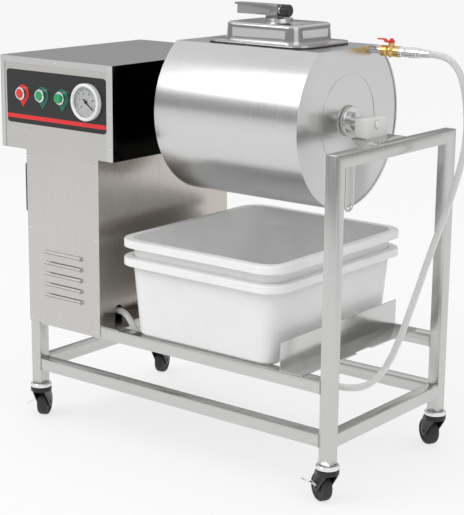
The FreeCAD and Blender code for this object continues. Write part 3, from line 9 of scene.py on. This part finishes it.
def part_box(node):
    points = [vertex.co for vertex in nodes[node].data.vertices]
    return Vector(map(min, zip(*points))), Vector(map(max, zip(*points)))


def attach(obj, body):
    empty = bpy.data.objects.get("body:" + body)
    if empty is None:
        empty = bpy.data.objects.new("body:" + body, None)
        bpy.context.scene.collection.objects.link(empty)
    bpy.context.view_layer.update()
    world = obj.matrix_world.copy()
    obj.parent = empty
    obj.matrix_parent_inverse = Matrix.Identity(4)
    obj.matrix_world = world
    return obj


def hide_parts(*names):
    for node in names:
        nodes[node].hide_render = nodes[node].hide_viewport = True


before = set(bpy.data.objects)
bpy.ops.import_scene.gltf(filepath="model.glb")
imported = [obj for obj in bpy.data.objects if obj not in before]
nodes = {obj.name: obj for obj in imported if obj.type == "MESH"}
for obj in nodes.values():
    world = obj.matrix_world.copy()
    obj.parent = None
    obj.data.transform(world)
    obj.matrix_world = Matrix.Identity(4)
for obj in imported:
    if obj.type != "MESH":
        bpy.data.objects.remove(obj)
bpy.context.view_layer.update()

# ---------------------------------------------------------------------------
# Camera: eye level with the drum, in front and to the right, looking down a
# little at the machine.
# ---------------------------------------------------------------------------
SENSOR = 36.0
FOCAL = 2.9165  # focal length over the picture's long side
camera = bpy.data.cameras.new("camera")
camera.sensor_width = SENSOR
camera.lens = SENSOR * FOCAL
camera.clip_end = 200
eye = bpy.data.objects.new("camera", camera)
bpy.context.scene.collection.objects.link(eye)
turn, tilt, lean = (math.radians(a) for a in (38.06, -13.79, 0.56))
ahead = Vector((-math.sin(turn) * math.cos(tilt), math.cos(turn) * math.cos(tilt), math.sin(tilt)))
side = Vector((math.cos(turn), math.sin(turn), 0))
up = side.cross(ahead)
right = math.cos(lean) * side + math.sin(lean) * up
top = math.cos(lean) * up - math.sin(lean) * side
eye.matrix_world = Matrix.Translation((2.1695, -2.7497, 1.295)) @ Matrix(
    (right, top, -ahead)
).transposed().to_4x4()
bpy.context.scene.camera = eye
bpy.context.scene.view_settings.view_transform = "Standard"

# ---------------------------------------------------------------------------
# Room: a pale floor, a ceiling that is bright overhead and darker towards the
# horizon, and one broad soft lamp from the front left.
# ---------------------------------------------------------------------------
FLOOR_HALF = 40.0
SKY = [(0.0, 0.8), (0.49, 0.8), (0.5, 0.3), (0.575, 0.42), (0.675, 0.78), (0.8, 1.0)]
floor_mesh = bpy.data.meshes.new("floor")
floor_mesh.from_pydata(
    [(x * FLOOR_HALF, y * FLOOR_HALF, 0) for x, y in ((-1, -1), (1, -1), (1, 1), (-1, 1))],
    [], [(0, 1, 2, 3)])
floor = bpy.data.objects.new("floor", floor_mesh)
bpy.context.scene.collection.objects.link(floor)
pale = bpy.data.materials.new("pale_floor")
pale.use_nodes = True
net = pale.node_tree
net.nodes.clear()
out = net.nodes.new("ShaderNodeOutputMaterial")
matt = net.nodes.new("ShaderNodeBsdfDiffuse")
matt.inputs["Color"].default_value = (0.9, 0.9, 0.9, 1)
glow = net.nodes.new("ShaderNodeEmission")
glow.inputs["Strength"].default_value = 1.0
rays = net.nodes.new("ShaderNodeLightPath")
seen = net.nodes.new("ShaderNodeMath")
seen.operation = "MAXIMUM"
also = net.nodes.new("ShaderNodeMath")
also.operation = "MAXIMUM"
share = net.nodes.new("ShaderNodeMath")
share.operation = "MULTIPLY"
share.inputs[1].default_value = 0.7
blend = net.nodes.new("ShaderNodeMixShader")
net.links.new(rays.outputs["Is Camera Ray"], seen.inputs[0])
net.links.new(rays.outputs["Is Glossy Ray"], seen.inputs[1])
net.links.new(seen.outputs[0], also.inputs[0])
net.links.new(rays.outputs["Is Transmission Ray"], also.inputs[1])
net.links.new(also.outputs[0], share.inputs[0])
net.links.new(share.outputs[0], blend.inputs[0])
net.links.new(matt.outputs[0], blend.inputs[1])
net.links.new(glow.outputs[0], blend.inputs[2])
net.links.new(blend.outputs[0], out.inputs[0])
floor_mesh.materials.append(pale)

world = bpy.data.worlds.new("studio")
bpy.context.scene.world = world
world.use_nodes = True
net = world.node_tree
back = net.nodes["Background"]
sight = net.nodes.new("ShaderNodeTexCoord")
split = net.nodes.new("ShaderNodeSeparateXYZ")
height = net.nodes.new("ShaderNodeMapRange")
height.inputs["From Min"].default_value = -1
tone = net.nodes.new("ShaderNodeValToRGB")
while len(tone.color_ramp.elements) < len(SKY):
    tone.color_ramp.elements.new(0.5)
for stop, (place, level) in zip(tone.color_ramp.elements, SKY):
    stop.position = place
    stop.color = (level, level, level, 1)
net.links.new(sight.outputs["Generated"], split.inputs[0])
net.links.new(split.outputs["Z"], height.inputs["Value"])
net.links.new(height.outputs[0], tone.inputs[0])
net.links.new(tone.outputs[0], back.inputs["Color"])
back.inputs["Strength"].default_value = 0.9

for lamp_name, watts, size, place in (
        ("key_lamp", 62, 2.6, (-1.6, -3.4, 3.4)), ("fill_lamp", 22, 3.0, (3.6, -1.2, 2.6))):
    lamp = bpy.data.lights.new(lamp_name, "AREA")
    lamp.energy = watts
    lamp.size = size
    stand = bpy.data.objects.new(lamp_name, lamp)
    stand.location = place
    stand.rotation_mode = "QUATERNION"
    stand.rotation_quaternion = (Vector((0, 0, 0.6)) - Vector(place)).to_track_quat("-Z", "Y")
    bpy.context.scene.collection.objects.link(stand)

# ---------------------------------------------------------------------------
# Frame: square stainless tube, belt-ground along its length, welded at every
# joint and ground nearly flush, with a hook of bent rod under the bar.
# ---------------------------------------------------------------------------
GRAIN = 520.0  # grinding lines per metre, across the grain
DRAWN = 6.0  # and along it


def brushed_steel(name, tone, rough, grain, relief=0.045):
    """Rubbed steel: noise stretched along the grain moves the roughness and a fine
    relief, and a slow cloud moves the tone.  grain is the noise's scale on X, Y, Z."""
    finish = bpy.data.materials.new(name)
    finish.use_nodes = True
    net = finish.node_tree
    metal = net.nodes["Principled BSDF"]
    place = net.nodes.new("ShaderNodeTexCoord")
    lay = net.nodes.new("ShaderNodeMapping")
    lay.inputs["Scale"].default_value = grain
    lines = net.nodes.new("ShaderNodeTexNoise")
    lines.inputs["Scale"].default_value = 1
    lines.inputs["Detail"].default_value = 4
    cloud = net.nodes.new("ShaderNodeTexNoise")
    cloud.inputs["Scale"].default_value = 5
    cloud.inputs["Detail"].default_value = 2
    sheen = net.nodes.new("ShaderNodeMapRange")
    sheen.inputs["From Min"].default_value = 0.3
    sheen.inputs["From Max"].default_value = 0.7
    sheen.inputs["To Min"].default_value = rough * 0.85
    sheen.inputs["To Max"].default_value = rough * 1.2
    shade = net.nodes.new("ShaderNodeMix")
    shade.data_type = "RGBA"
    shade.inputs[6].default_value = (*[c * 0.95 for c in tone], 1)
    shade.inputs[7].default_value = (*[min(1, c * 1.03) for c in tone], 1)
    relief_map = net.nodes.new("ShaderNodeBump")
    relief_map.inputs["Strength"].default_value = relief
    relief_map.inputs["Distance"].default_value = 0.0004
    net.links.new(place.outputs["Object"], lay.inputs["Vector"])
    net.links.new(lay.outputs[0], lines.inputs["Vector"])
    net.links.new(place.outputs["Object"], cloud.inputs["Vector"])
    net.links.new(lines.outputs[0], sheen.inputs["Value"])
    net.links.new(sheen.outputs[0], metal.inputs["Roughness"])
    net.links.new(cloud.outputs[0], shade.inputs[0])
    net.links.new(shade.outputs[2], metal.inputs["Base Color"])
    net.links.new(lines.outputs[0], relief_map.inputs["Height"])
    net.links.new(relief_map.outputs[0], metal.inputs["Normal"])
    metal.inputs["Metallic"].default_value = 1
    return finish


def dress(finish, *names, edge=0.0):
    """Gives CAD nodes their finish.  Facets are joined so that curves shade smoothly,
    edges sharper than 32 degrees stay crisp, and edge rounds them by that much."""
    for name in names:
        piece = nodes[name]
        piece.data.materials.clear()
        piece.data.materials.append(finish)
        piece.data.polygons.foreach_set("use_smooth", [True] * len(piece.data.polygons))
        join = piece.modifiers.new("join", "WELD")
        join.merge_threshold = 2e-6
        if edge:
            rounding = piece.modifiers.new("rounding", "BEVEL")
            rounding.width = edge
            rounding.segments = 2
            rounding.limit_method = "ANGLE"
            rounding.angle_limit = math.radians(40)
        crisp = piece.modifiers.new("crisp", "EDGE_SPLIT")
        crisp.split_angle = math.radians(32)


TUBE_TONE = (0.60, 0.60, 0.59)
along_x = brushed_steel("tube_ground_lengthwise", TUBE_TONE, 0.24, (DRAWN, GRAIN, GRAIN))
upright = brushed_steel("tube_ground_upright", TUBE_TONE, 0.24, (GRAIN, GRAIN, DRAWN))
dress(along_x, "rail_low_back", "rail_low_front", "rail_shelf_back", "rail_shelf_front", edge=0.002)
dress(upright, "frame_end_left", "frame_end_right", edge=0.002)
dress(brushed_steel("seat_steel", TUBE_TONE, 0.2, (GRAIN, DRAWN, GRAIN)),
      "bearing_seat", "tub_stop", edge=0.0004)
dress(brushed_steel("hook_steel", TUBE_TONE, 0.2, (GRAIN, GRAIN, DRAWN)), "hose_hook")


def add_piece(name, points, faces, finish, body, slot, smooth=True):
    """Puts worked-out points and faces into a mesh that rides on a body."""
    mesh = bpy.data.meshes.new(name)
    mesh.from_pydata(points.tolist(), [], faces.tolist())
    mesh.polygons.foreach_set("use_smooth", [smooth] * len(mesh.polygons))
    mesh.materials.append(finish)
    piece = bpy.data.objects.new(name, mesh)
    bpy.context.scene.collection.objects.link(piece)
    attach(piece, body)
    return piece


def grid_faces(rows, cols, wrap_rows=False):
    """Quads of a rows by cols grid of points that closes on itself across its columns."""
    i, j = np.meshgrid(np.arange(rows if wrap_rows else rows - 1), np.arange(cols), indexing="ij")
    k = (i + 1) % rows
    n = (j + 1) % cols
    return np.stack([i * cols + j, k * cols + j, k * cols + n, i * cols + n], -1).reshape(-1, 4)


def weld_bead(name, x, low, high):
    """Bead round a square tube's end: a small circle carried round the square, its
    radius rippling as r(1 + 0.16 sin ks) with the weld's ripples, k of them a metre."""
    ripple = 2 * math.pi / 0.0035
    count, cols, radius = 220, 8, 0.0013
    s = np.arange(count) / count * 4
    leg, t = s.astype(int), s % 1
    y0, z0 = low
    y1, z1 = high
    ys = np.choose(leg, [y0 + (y1 - y0) * t, y1 + 0 * t, y1 + (y0 - y1) * t, y0 + 0 * t])
    zs = np.choose(leg, [z0 + 0 * t, z0 + (z1 - z0) * t, z1 + 0 * t, z1 + (z0 - z1) * t])
    out_y = np.choose(leg, [0, 1, 0, -1])
    out_z = np.choose(leg, [-1, 0, 1, 0])
    r = radius * (1 + 0.16 * np.sin(ripple * s * (y1 - y0)))
    a = 2 * math.pi * np.arange(cols) / cols
    px = x + r[:, None] * np.cos(a)[None]
    py = ys[:, None] + (r * out_y)[:, None] * np.sin(a)[None]
    pz = zs[:, None] + (r * out_z)[:, None] * np.sin(a)[None]
    points = np.stack([px, py, pz], -1).reshape(-1, 3)
    return add_piece(name, points, grid_faces(count, cols, True), bead_steel, "frame", "stainless")


bead_steel = brushed_steel("weld_steel", (0.5, 0.48, 0.45), 0.3, (300, 300, 300), 0.3)
for rail in ("rail_low_front", "rail_low_back", "rail_shelf_front", "rail_shelf_back"):
    lo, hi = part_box(rail)
    for end, x in (("left", lo.x), ("right", hi.x)):
        weld_bead("weld_%s_%s" % (rail[5:], end), x, (lo.y, lo.z), (hi.y, hi.z))

# ---------------------------------------------------------------------------
# Cabinet: folded satin sheet screwed to the frame, with pressed louvres, a
# slot for the hose and a black vent cover on its left side.
# ---------------------------------------------------------------------------
SHEET_TONE = (0.60, 0.585, 0.565)
dress(brushed_steel("cabinet_sheet", SHEET_TONE, 0.27, (GRAIN, GRAIN, DRAWN)),
      "cabinet_front", "cabinet_floor")
# Painted reflection: the wall's steel is a darker, browner copy of the front's sheet, in place of the
# reflections on the polished wall.
dress(brushed_steel("cabinet_wall", (0.58, 0.54, 0.5), 0.24, (GRAIN, GRAIN, DRAWN), 0.02),
      "cabinet_shell")
dress(brushed_steel("chassis_sheet", SHEET_TONE, 0.3, (DRAWN, GRAIN, GRAIN)),
      "box_chassis", "box_front", "motor_shelf")


def moulded(name, colour, rough, speck=900.0, relief=0.04, coat=0.0):
    """Moulded plastic or paint: one colour, a fine even speckle in relief and a slow
    drift in gloss from handling."""
    finish = bpy.data.materials.new(name)
    finish.use_nodes = True
    net = finish.node_tree
    body = net.nodes["Principled BSDF"]
    place = net.nodes.new("ShaderNodeTexCoord")
    fine = net.nodes.new("ShaderNodeTexNoise")
    fine.inputs["Scale"].default_value = speck
    slow = net.nodes.new("ShaderNodeTexNoise")
    slow.inputs["Scale"].default_value = 14
    gloss = net.nodes.new("ShaderNodeMapRange")
    gloss.inputs["To Min"].default_value = rough * 0.8
    gloss.inputs["To Max"].default_value = rough * 1.2
    shade = net.nodes.new("ShaderNodeMix")
    shade.data_type = "RGBA"
    shade.inputs[6].default_value = (*[c * 0.93 for c in colour], 1)
    shade.inputs[7].default_value = (*[min(1, c * 1.04) for c in colour], 1)
    relief_map = net.nodes.new("ShaderNodeBump")
    relief_map.inputs["Strength"].default_value = relief
    relief_map.inputs["Distance"].default_value = 0.0003
    for texture in (fine, slow):
        net.links.new(place.outputs["Object"], texture.inputs["Vector"])
    net.links.new(slow.outputs[0], gloss.inputs["Value"])
    net.links.new(gloss.outputs[0], body.inputs["Roughness"])
    net.links.new(slow.outputs[0], shade.inputs[0])
    net.links.new(shade.outputs[2], body.inputs["Base Color"])
    net.links.new(fine.outputs[0], relief_map.inputs["Height"])
    net.links.new(relief_map.outputs[0], body.inputs["Normal"])
    body.inputs["Coat Weight"].default_value = coat
    return finish


BLACK = (0.012, 0.012, 0.013)
black_plastic = moulded("black_plastic", BLACK, 0.38)
dress(black_plastic, "vent_cover", "control_gear", edge=0.0006)
dress(brushed_steel("screw_steel", (0.7, 0.7, 0.7), 0.18, (400, 400, 400)), "panel_screws")
dress(moulded("machine_grey", (0.16, 0.18, 0.20), 0.42, 500, 0.2), "gear_motor", "vacuum_pump",
      "bearing_left", edge=0.001)

# ---------------------------------------------------------------------------
# Control box: a polished sheet cover whose right face carries a near-black painted dark reflection,
# and a black plate on its front that carries a red line, three push buttons and the vacuum gauge.
# ---------------------------------------------------------------------------


def banded(finish, axis, low, high, colour, rough=None):
    """Paints a band between two heights on one axis of a finish in another colour,
    as a screen print does on the panels, and as a painted dark reflection on the cover's right face."""
    net = finish.node_tree
    body = net.nodes["Principled BSDF"]
    place = net.nodes.new("ShaderNodeTexCoord")
    split = net.nodes.new("ShaderNodeSeparateXYZ")
    net.links.new(place.outputs["Object"], split.inputs[0])
    over = net.nodes.new("ShaderNodeMath")
    over.operation = "GREATER_THAN"
    over.inputs[1].default_value = low
    under = net.nodes.new("ShaderNodeMath")
    under.operation = "LESS_THAN"
    under.inputs[1].default_value = high
    inside = net.nodes.new("ShaderNodeMath")
    inside.operation = "MULTIPLY"
    net.links.new(split.outputs[axis], over.inputs[0])
    net.links.new(split.outputs[axis], under.inputs[0])
    net.links.new(over.outputs[0], inside.inputs[0])
    net.links.new(under.outputs[0], inside.inputs[1])
    paint = net.nodes.new("ShaderNodeMix")
    paint.data_type = "RGBA"
    net.links.new(inside.outputs[0], paint.inputs[0])
    net.links.new(body.inputs["Base Color"].links[0].from_socket, paint.inputs[6])
    paint.inputs[7].default_value = (*colour, 1)
    net.links.new(paint.outputs[2], body.inputs["Base Color"])
    return finish


cover = brushed_steel("cover_polished", (0.6, 0.6, 0.6), 0.16, (GRAIN, DRAWN, GRAIN), 0.02)
cover_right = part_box("box_cover")[1].x
# Painted dark reflection: the cover's right face is painted near-black in place of the shaded gap
# beside the drum that the polished sheet reflects.
banded(cover, "X", cover_right - 0.001, cover_right + 0.001, (0.012, 0.012, 0.012))
dress(cover, "box_cover")

RED = (0.72, 0.02, 0.02)
GREEN = (0.0, 0.33, 0.10)
plate_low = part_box("control_plate")[0].z
plate = banded(moulded("control_print", BLACK, 0.3), "Z", plate_low + 0.011, plate_low + 0.021, RED)
dress(plate, "control_plate")
stop_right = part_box("button_stop")[1].x
tags = banded(moulded("legend_print", (0.0, 0.16, 0.10), 0.3), "X", -1, stop_right + 0.015, RED)
dress(tags, "legend_plates")
chrome = brushed_steel("chrome", (0.82, 0.82, 0.83), 0.07, (120, 120, 120), 0.01)
dress(chrome, "button_housings")
dress(moulded("stop_cap", RED, 0.22, coat=0.4), "button_stop", edge=0.0008)
dress(moulded("start_cap", GREEN, 0.22, coat=0.4), "button_start", "button_vacuum", edge=0.0008)

# Vacuum gauge: white enamelled case, printed dial, black pointer, flat glass.
dress(moulded("gauge_enamel", (0.86, 0.87, 0.88), 0.25, coat=0.3), "gauge_case")
dress(black_plastic, "gauge_pointer")
glass = bpy.data.materials.new("gauge_glass")
glass.use_nodes = True
pane = glass.node_tree.nodes["Principled BSDF"]
pane.inputs["Transmission Weight"].default_value = 1
pane.inputs["Roughness"].default_value = 0.02
pane.inputs["IOR"].default_value = 1.1
dress(glass, "gauge_glass")

case_low, case_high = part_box("gauge_case")
dial_x = (case_low.x + case_high.x) / 2
dial_z = (case_low.z + case_high.z) / 2
dial_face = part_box("gauge_glass")[1].y + 0.0048
DIAL_SWEEP = math.radians(260)
ink = moulded("dial_ink", (0.02, 0.02, 0.02), 0.5)


def dial_marks(count, inner, outer, width):
    """Radial strokes: stroke i stands at an equal share of the sweep, a thin quad from
    the inner to the outer radius, facing forward."""
    a = -DIAL_SWEEP / 2 + DIAL_SWEEP * np.arange(count) / (count - 1)
    out = np.stack([np.sin(a), np.cos(a)], -1)
    across = np.stack([out[:, 1], -out[:, 0]], -1) * width / 2
    corners = np.stack([out * inner - across, out * inner + across,
                        out * outer + across, out * outer - across], 1)
    flat = corners.reshape(-1, 2)
    points = np.stack([dial_x + flat[:, 0], np.full(len(flat), dial_face), dial_z + flat[:, 1]], -1)
    return points, np.arange(count * 4).reshape(-1, 4)


add_piece("dial_marks_long", *dial_marks(11, 0.0262, 0.0305, 0.0011), ink, "frame", "black_plastic")
add_piece("dial_marks_short", *dial_marks(51, 0.0285, 0.0305, 0.0005), ink, "frame", "black_plastic")
for step in range(6):
    letters = bpy.data.curves.new("number", "FONT")
    letters.body = str(step * 2)
    letters.size = 0.0085
    letters.align_x = "CENTER"
    letters.align_y = "CENTER"
    source = bpy.data.objects.new("number", letters)
    bpy.context.scene.collection.objects.link(source)
    bpy.context.view_layer.update()
    shape = bpy.data.meshes.new_from_object(source)
    bpy.data.objects.remove(source)
    angle = -DIAL_SWEEP / 2 + DIAL_SWEEP * step / 5
    spot = Vector((dial_x + 0.0205 * math.sin(angle), dial_face, dial_z + 0.0205 * math.cos(angle)))
    shape.transform(Matrix.Translation(spot) @ Matrix.Rotation(math.pi / 2, 4, "X"))
    shape.materials.clear()
    shape.materials.append(ink)
    number = bpy.data.objects.new("dial_number_%d" % step, shape)
    bpy.context.scene.collection.objects.link(number)
    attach(number, "frame")

# ---------------------------------------------------------------------------
# Drive: V-belt and grooved pulleys behind the cabinet's wall.
# ---------------------------------------------------------------------------
dress(moulded("belt_rubber", (0.02, 0.02, 0.02), 0.7, 700, 0.3), "drive_belt")
dress(brushed_steel("turned_steel", (0.42, 0.43, 0.45), 0.3, (GRAIN, DRAWN, DRAWN)),
      "drum_shaft_left", "motor_pulley")

# ---------------------------------------------------------------------------
# Drum: rolled stainless shell, satin-ground round its girth, with a flat on
# top, end discs set in behind a bright rim, and a deep-drawn lid.
# ---------------------------------------------------------------------------
dress(brushed_steel("drum_satin", (0.64, 0.64, 0.64), 0.23, (GRAIN, DRAWN, DRAWN)), "drum_shell")
dress(brushed_steel("hub_turned", (0.66, 0.66, 0.66), 0.16, (GRAIN, 60, 60)), "drum_hub_right")
dress(brushed_steel("lid_drawn", (0.56, 0.56, 0.56), 0.17, (DRAWN, GRAIN, GRAIN), 0.05), "lid",
      edge=0.0008)
dress(brushed_steel("handle_cast", (0.34, 0.34, 0.34), 0.26, (DRAWN, GRAIN, GRAIN)), "lid_handle",
      edge=0.001)
dress(moulded("gasket_rubber", (0.015, 0.015, 0.015), 0.6), "lid_gasket")
dress(black_plastic, "vent_knob")
white_block = moulded("bearing_plastic", (0.82, 0.81, 0.78), 0.42, 300, 0.1)
dress(white_block, "bearing_block", edge=0.0015)


def hub_weld(x, radius):
    """Fillet weld round the hub: a small circle carried round the axis, rippling with
    ninety swells as r(1 + 0.18 sin 90 a)."""
    count, cols, r0 = 360, 8, 0.0022
    mid = (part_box("drum_hub_right")[0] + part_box("drum_hub_right")[1]) / 2
    a = 2 * math.pi * np.arange(count) / count
    b = 2 * math.pi * np.arange(cols) / cols
    r = r0 * (1 + 0.18 * np.sin(90 * a))[:, None]
    away = radius + r * np.cos(b)[None]
    points = np.stack([x + r * np.sin(b)[None], mid.y + away * np.sin(a)[:, None],
                       mid.z + away * np.cos(a)[:, None]], -1).reshape(-1, 3)
    return add_piece("hub_weld", points, grid_faces(count, cols, True), bead_steel, "drum", "stainless")


hub_low, hub_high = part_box("drum_hub_right")
hub_weld(hub_low.x + 0.002, (hub_high.z - hub_low.z) / 2)

# ---------------------------------------------------------------------------
# Tubs: two nested tubs of white moulded polyethylene on the shelf rails, a
# little waxy, with light passing into the rim.
# ---------------------------------------------------------------------------
tub_plastic = moulded("tub_polyethylene", (0.88, 0.885, 0.88), 0.36, 260, 0.06)
milk = tub_plastic.node_tree.nodes["Principled BSDF"]
milk.inputs["Subsurface Weight"].default_value = 0.25
milk.inputs["Subsurface Radius"].default_value = (0.012, 0.012, 0.013)
milk.inputs["Subsurface Scale"].default_value = 0.5
dress(tub_plastic, "tub_lower", "tub_upper")

# ---------------------------------------------------------------------------
# Vacuum line: a brass ball valve with a red lever, a chromed quick coupling
# and a clear ribbed hose that runs down and along the rail to the pump.
# ---------------------------------------------------------------------------
dress(brushed_steel("valve_brass", (0.72, 0.49, 0.19), 0.2, (180, 180, 180), 0.05), "valve_body")
dress(moulded("lever_vinyl", RED, 0.3), "valve_lever", edge=0.0008)
dress(chrome, "hose_plug", "hose_socket")
HOSE_WIDE = 0.016
RIB_PITCH = 0.0042
RIB_DEEP = 0.0009
route = [
    (0.4808, 0.1018, 0.9485), (0.5168, 0.1018, 0.9485), (0.5483, 0.1018, 0.9273),
    (0.5658, 0.103, 0.8914), (0.5665, 0.1243, 0.822), (0.5615, 0.1323, 0.745),
    (0.5475, 0.1063, 0.64), (0.5325, 0.0553, 0.53), (0.5185, -0.0087, 0.388),
    (0.5065, -0.0587, 0.29), (0.4895, -0.1087, 0.246), (0.4645, -0.1597, 0.246),
    (0.4145, -0.1877, 0.258), (0.3215, -0.1957, 0.262), (0.1765, -0.1837, 0.259),
    (0.0415, -0.1947, 0.262), (-0.0355, -0.1967, 0.26), (-0.0785, -0.1977, 0.261),
    (-0.1025, -0.1987, 0.264), (-0.1195, -0.1987, 0.281), (-0.1375, -0.1947, 0.298),
    (-0.1615, -0.1837, 0.306), (-0.1855, -0.1737, 0.306), (-0.2075, -0.1737, 0.306),
]
curve = bpy.data.curves.new("hose_line", "CURVE")
curve.dimensions = "3D"
curve.resolution_u = 24
spline = curve.splines.new("NURBS")
spline.points.add(len(route) - 1)
for point, place in zip(spline.points, route):
    point.co = (*place, 1)
spline.order_u = 3
spline.use_endpoint_u = True
holder = bpy.data.objects.new("hose_line", curve)
bpy.context.scene.collection.objects.link(holder)
bpy.context.view_layer.update()
traced = bpy.data.meshes.new_from_object(holder)
line = np.empty(len(traced.vertices) * 3)
traced.vertices.foreach_get("co", line)
line = line.reshape(-1, 3)
bpy.data.objects.remove(holder)


def ribbed_tube(line):
    """Corrugated tube: circles square to the line, of radius R - d(1 - cos 2 pi s/p)/2 at
    the distance s along it, so that ribs of depth d stand a pitch p apart."""
    steps = np.linalg.norm(np.diff(line, axis=0), axis=1)
    far = np.concatenate([[0], np.cumsum(steps)])
    count, cols = int(far[-1] / RIB_PITCH) * 4 + 1, 14
    s = np.linspace(0, far[-1], count)
    mid = np.stack([np.interp(s, far, line[:, i]) for i in range(3)], -1)
    ahead = np.gradient(mid, axis=0)
    ahead /= np.linalg.norm(ahead, axis=1, keepdims=True)
    across = np.cross(ahead, (0, 1, 0))
    across /= np.linalg.norm(across, axis=1, keepdims=True)
    rise = np.cross(ahead, across)
    r = HOSE_WIDE / 2 - RIB_DEEP * (1 - np.cos(2 * math.pi * s / RIB_PITCH)) / 2
    a = 2 * math.pi * np.arange(cols) / cols
    ring = across[:, None] * np.cos(a)[None, :, None] + rise[:, None] * np.sin(a)[None, :, None]
    points = (mid[:, None] + r[:, None, None] * ring).reshape(-1, 3)
    return points, mid, cols


hose_points, hose_mid, cols = ribbed_tube(line)
rings = len(hose_mid)
hose_faces = grid_faces(rings, cols)
clear = moulded("hose_clear", (0.72, 0.74, 0.72), 0.25, 400, 0.05)
wall = clear.node_tree.nodes["Principled BSDF"]
wall.inputs["Transmission Weight"].default_value = 0.25
wall.inputs["IOR"].default_value = 1.4
hose = add_piece("vacuum_hose", hose_points, hose_faces, clear, "frame", "hose_pvc")
fill = bpy.data.meshes.new("ends")
fill.from_pydata(hose_points.tolist(), [], hose_faces.tolist()
                 + [list(range(cols))[::-1], list(range((rings - 1) * cols, rings * cols))])
fill.polygons.foreach_set("use_smooth", [True] * len(fill.polygons))
fill.materials.append(clear)
hose.data = fill
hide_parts("hose")

# ---------------------------------------------------------------------------
# Casters: chromed ball races, black forks and wheels, bright brake tabs.
# ---------------------------------------------------------------------------
CORNERS = ("fl", "fr", "bl", "br")
dress(chrome, "caster_races", "caster_brake_fl", "caster_brake_fr")
dress(moulded("fork_black", BLACK, 0.34), *["caster_fork_" + c for c in CORNERS], edge=0.0006)
dress(moulded("tyre_black", (0.025, 0.027, 0.027), 0.62, 420, 0.35),
      *["caster_wheel_" + c for c in CORNERS])
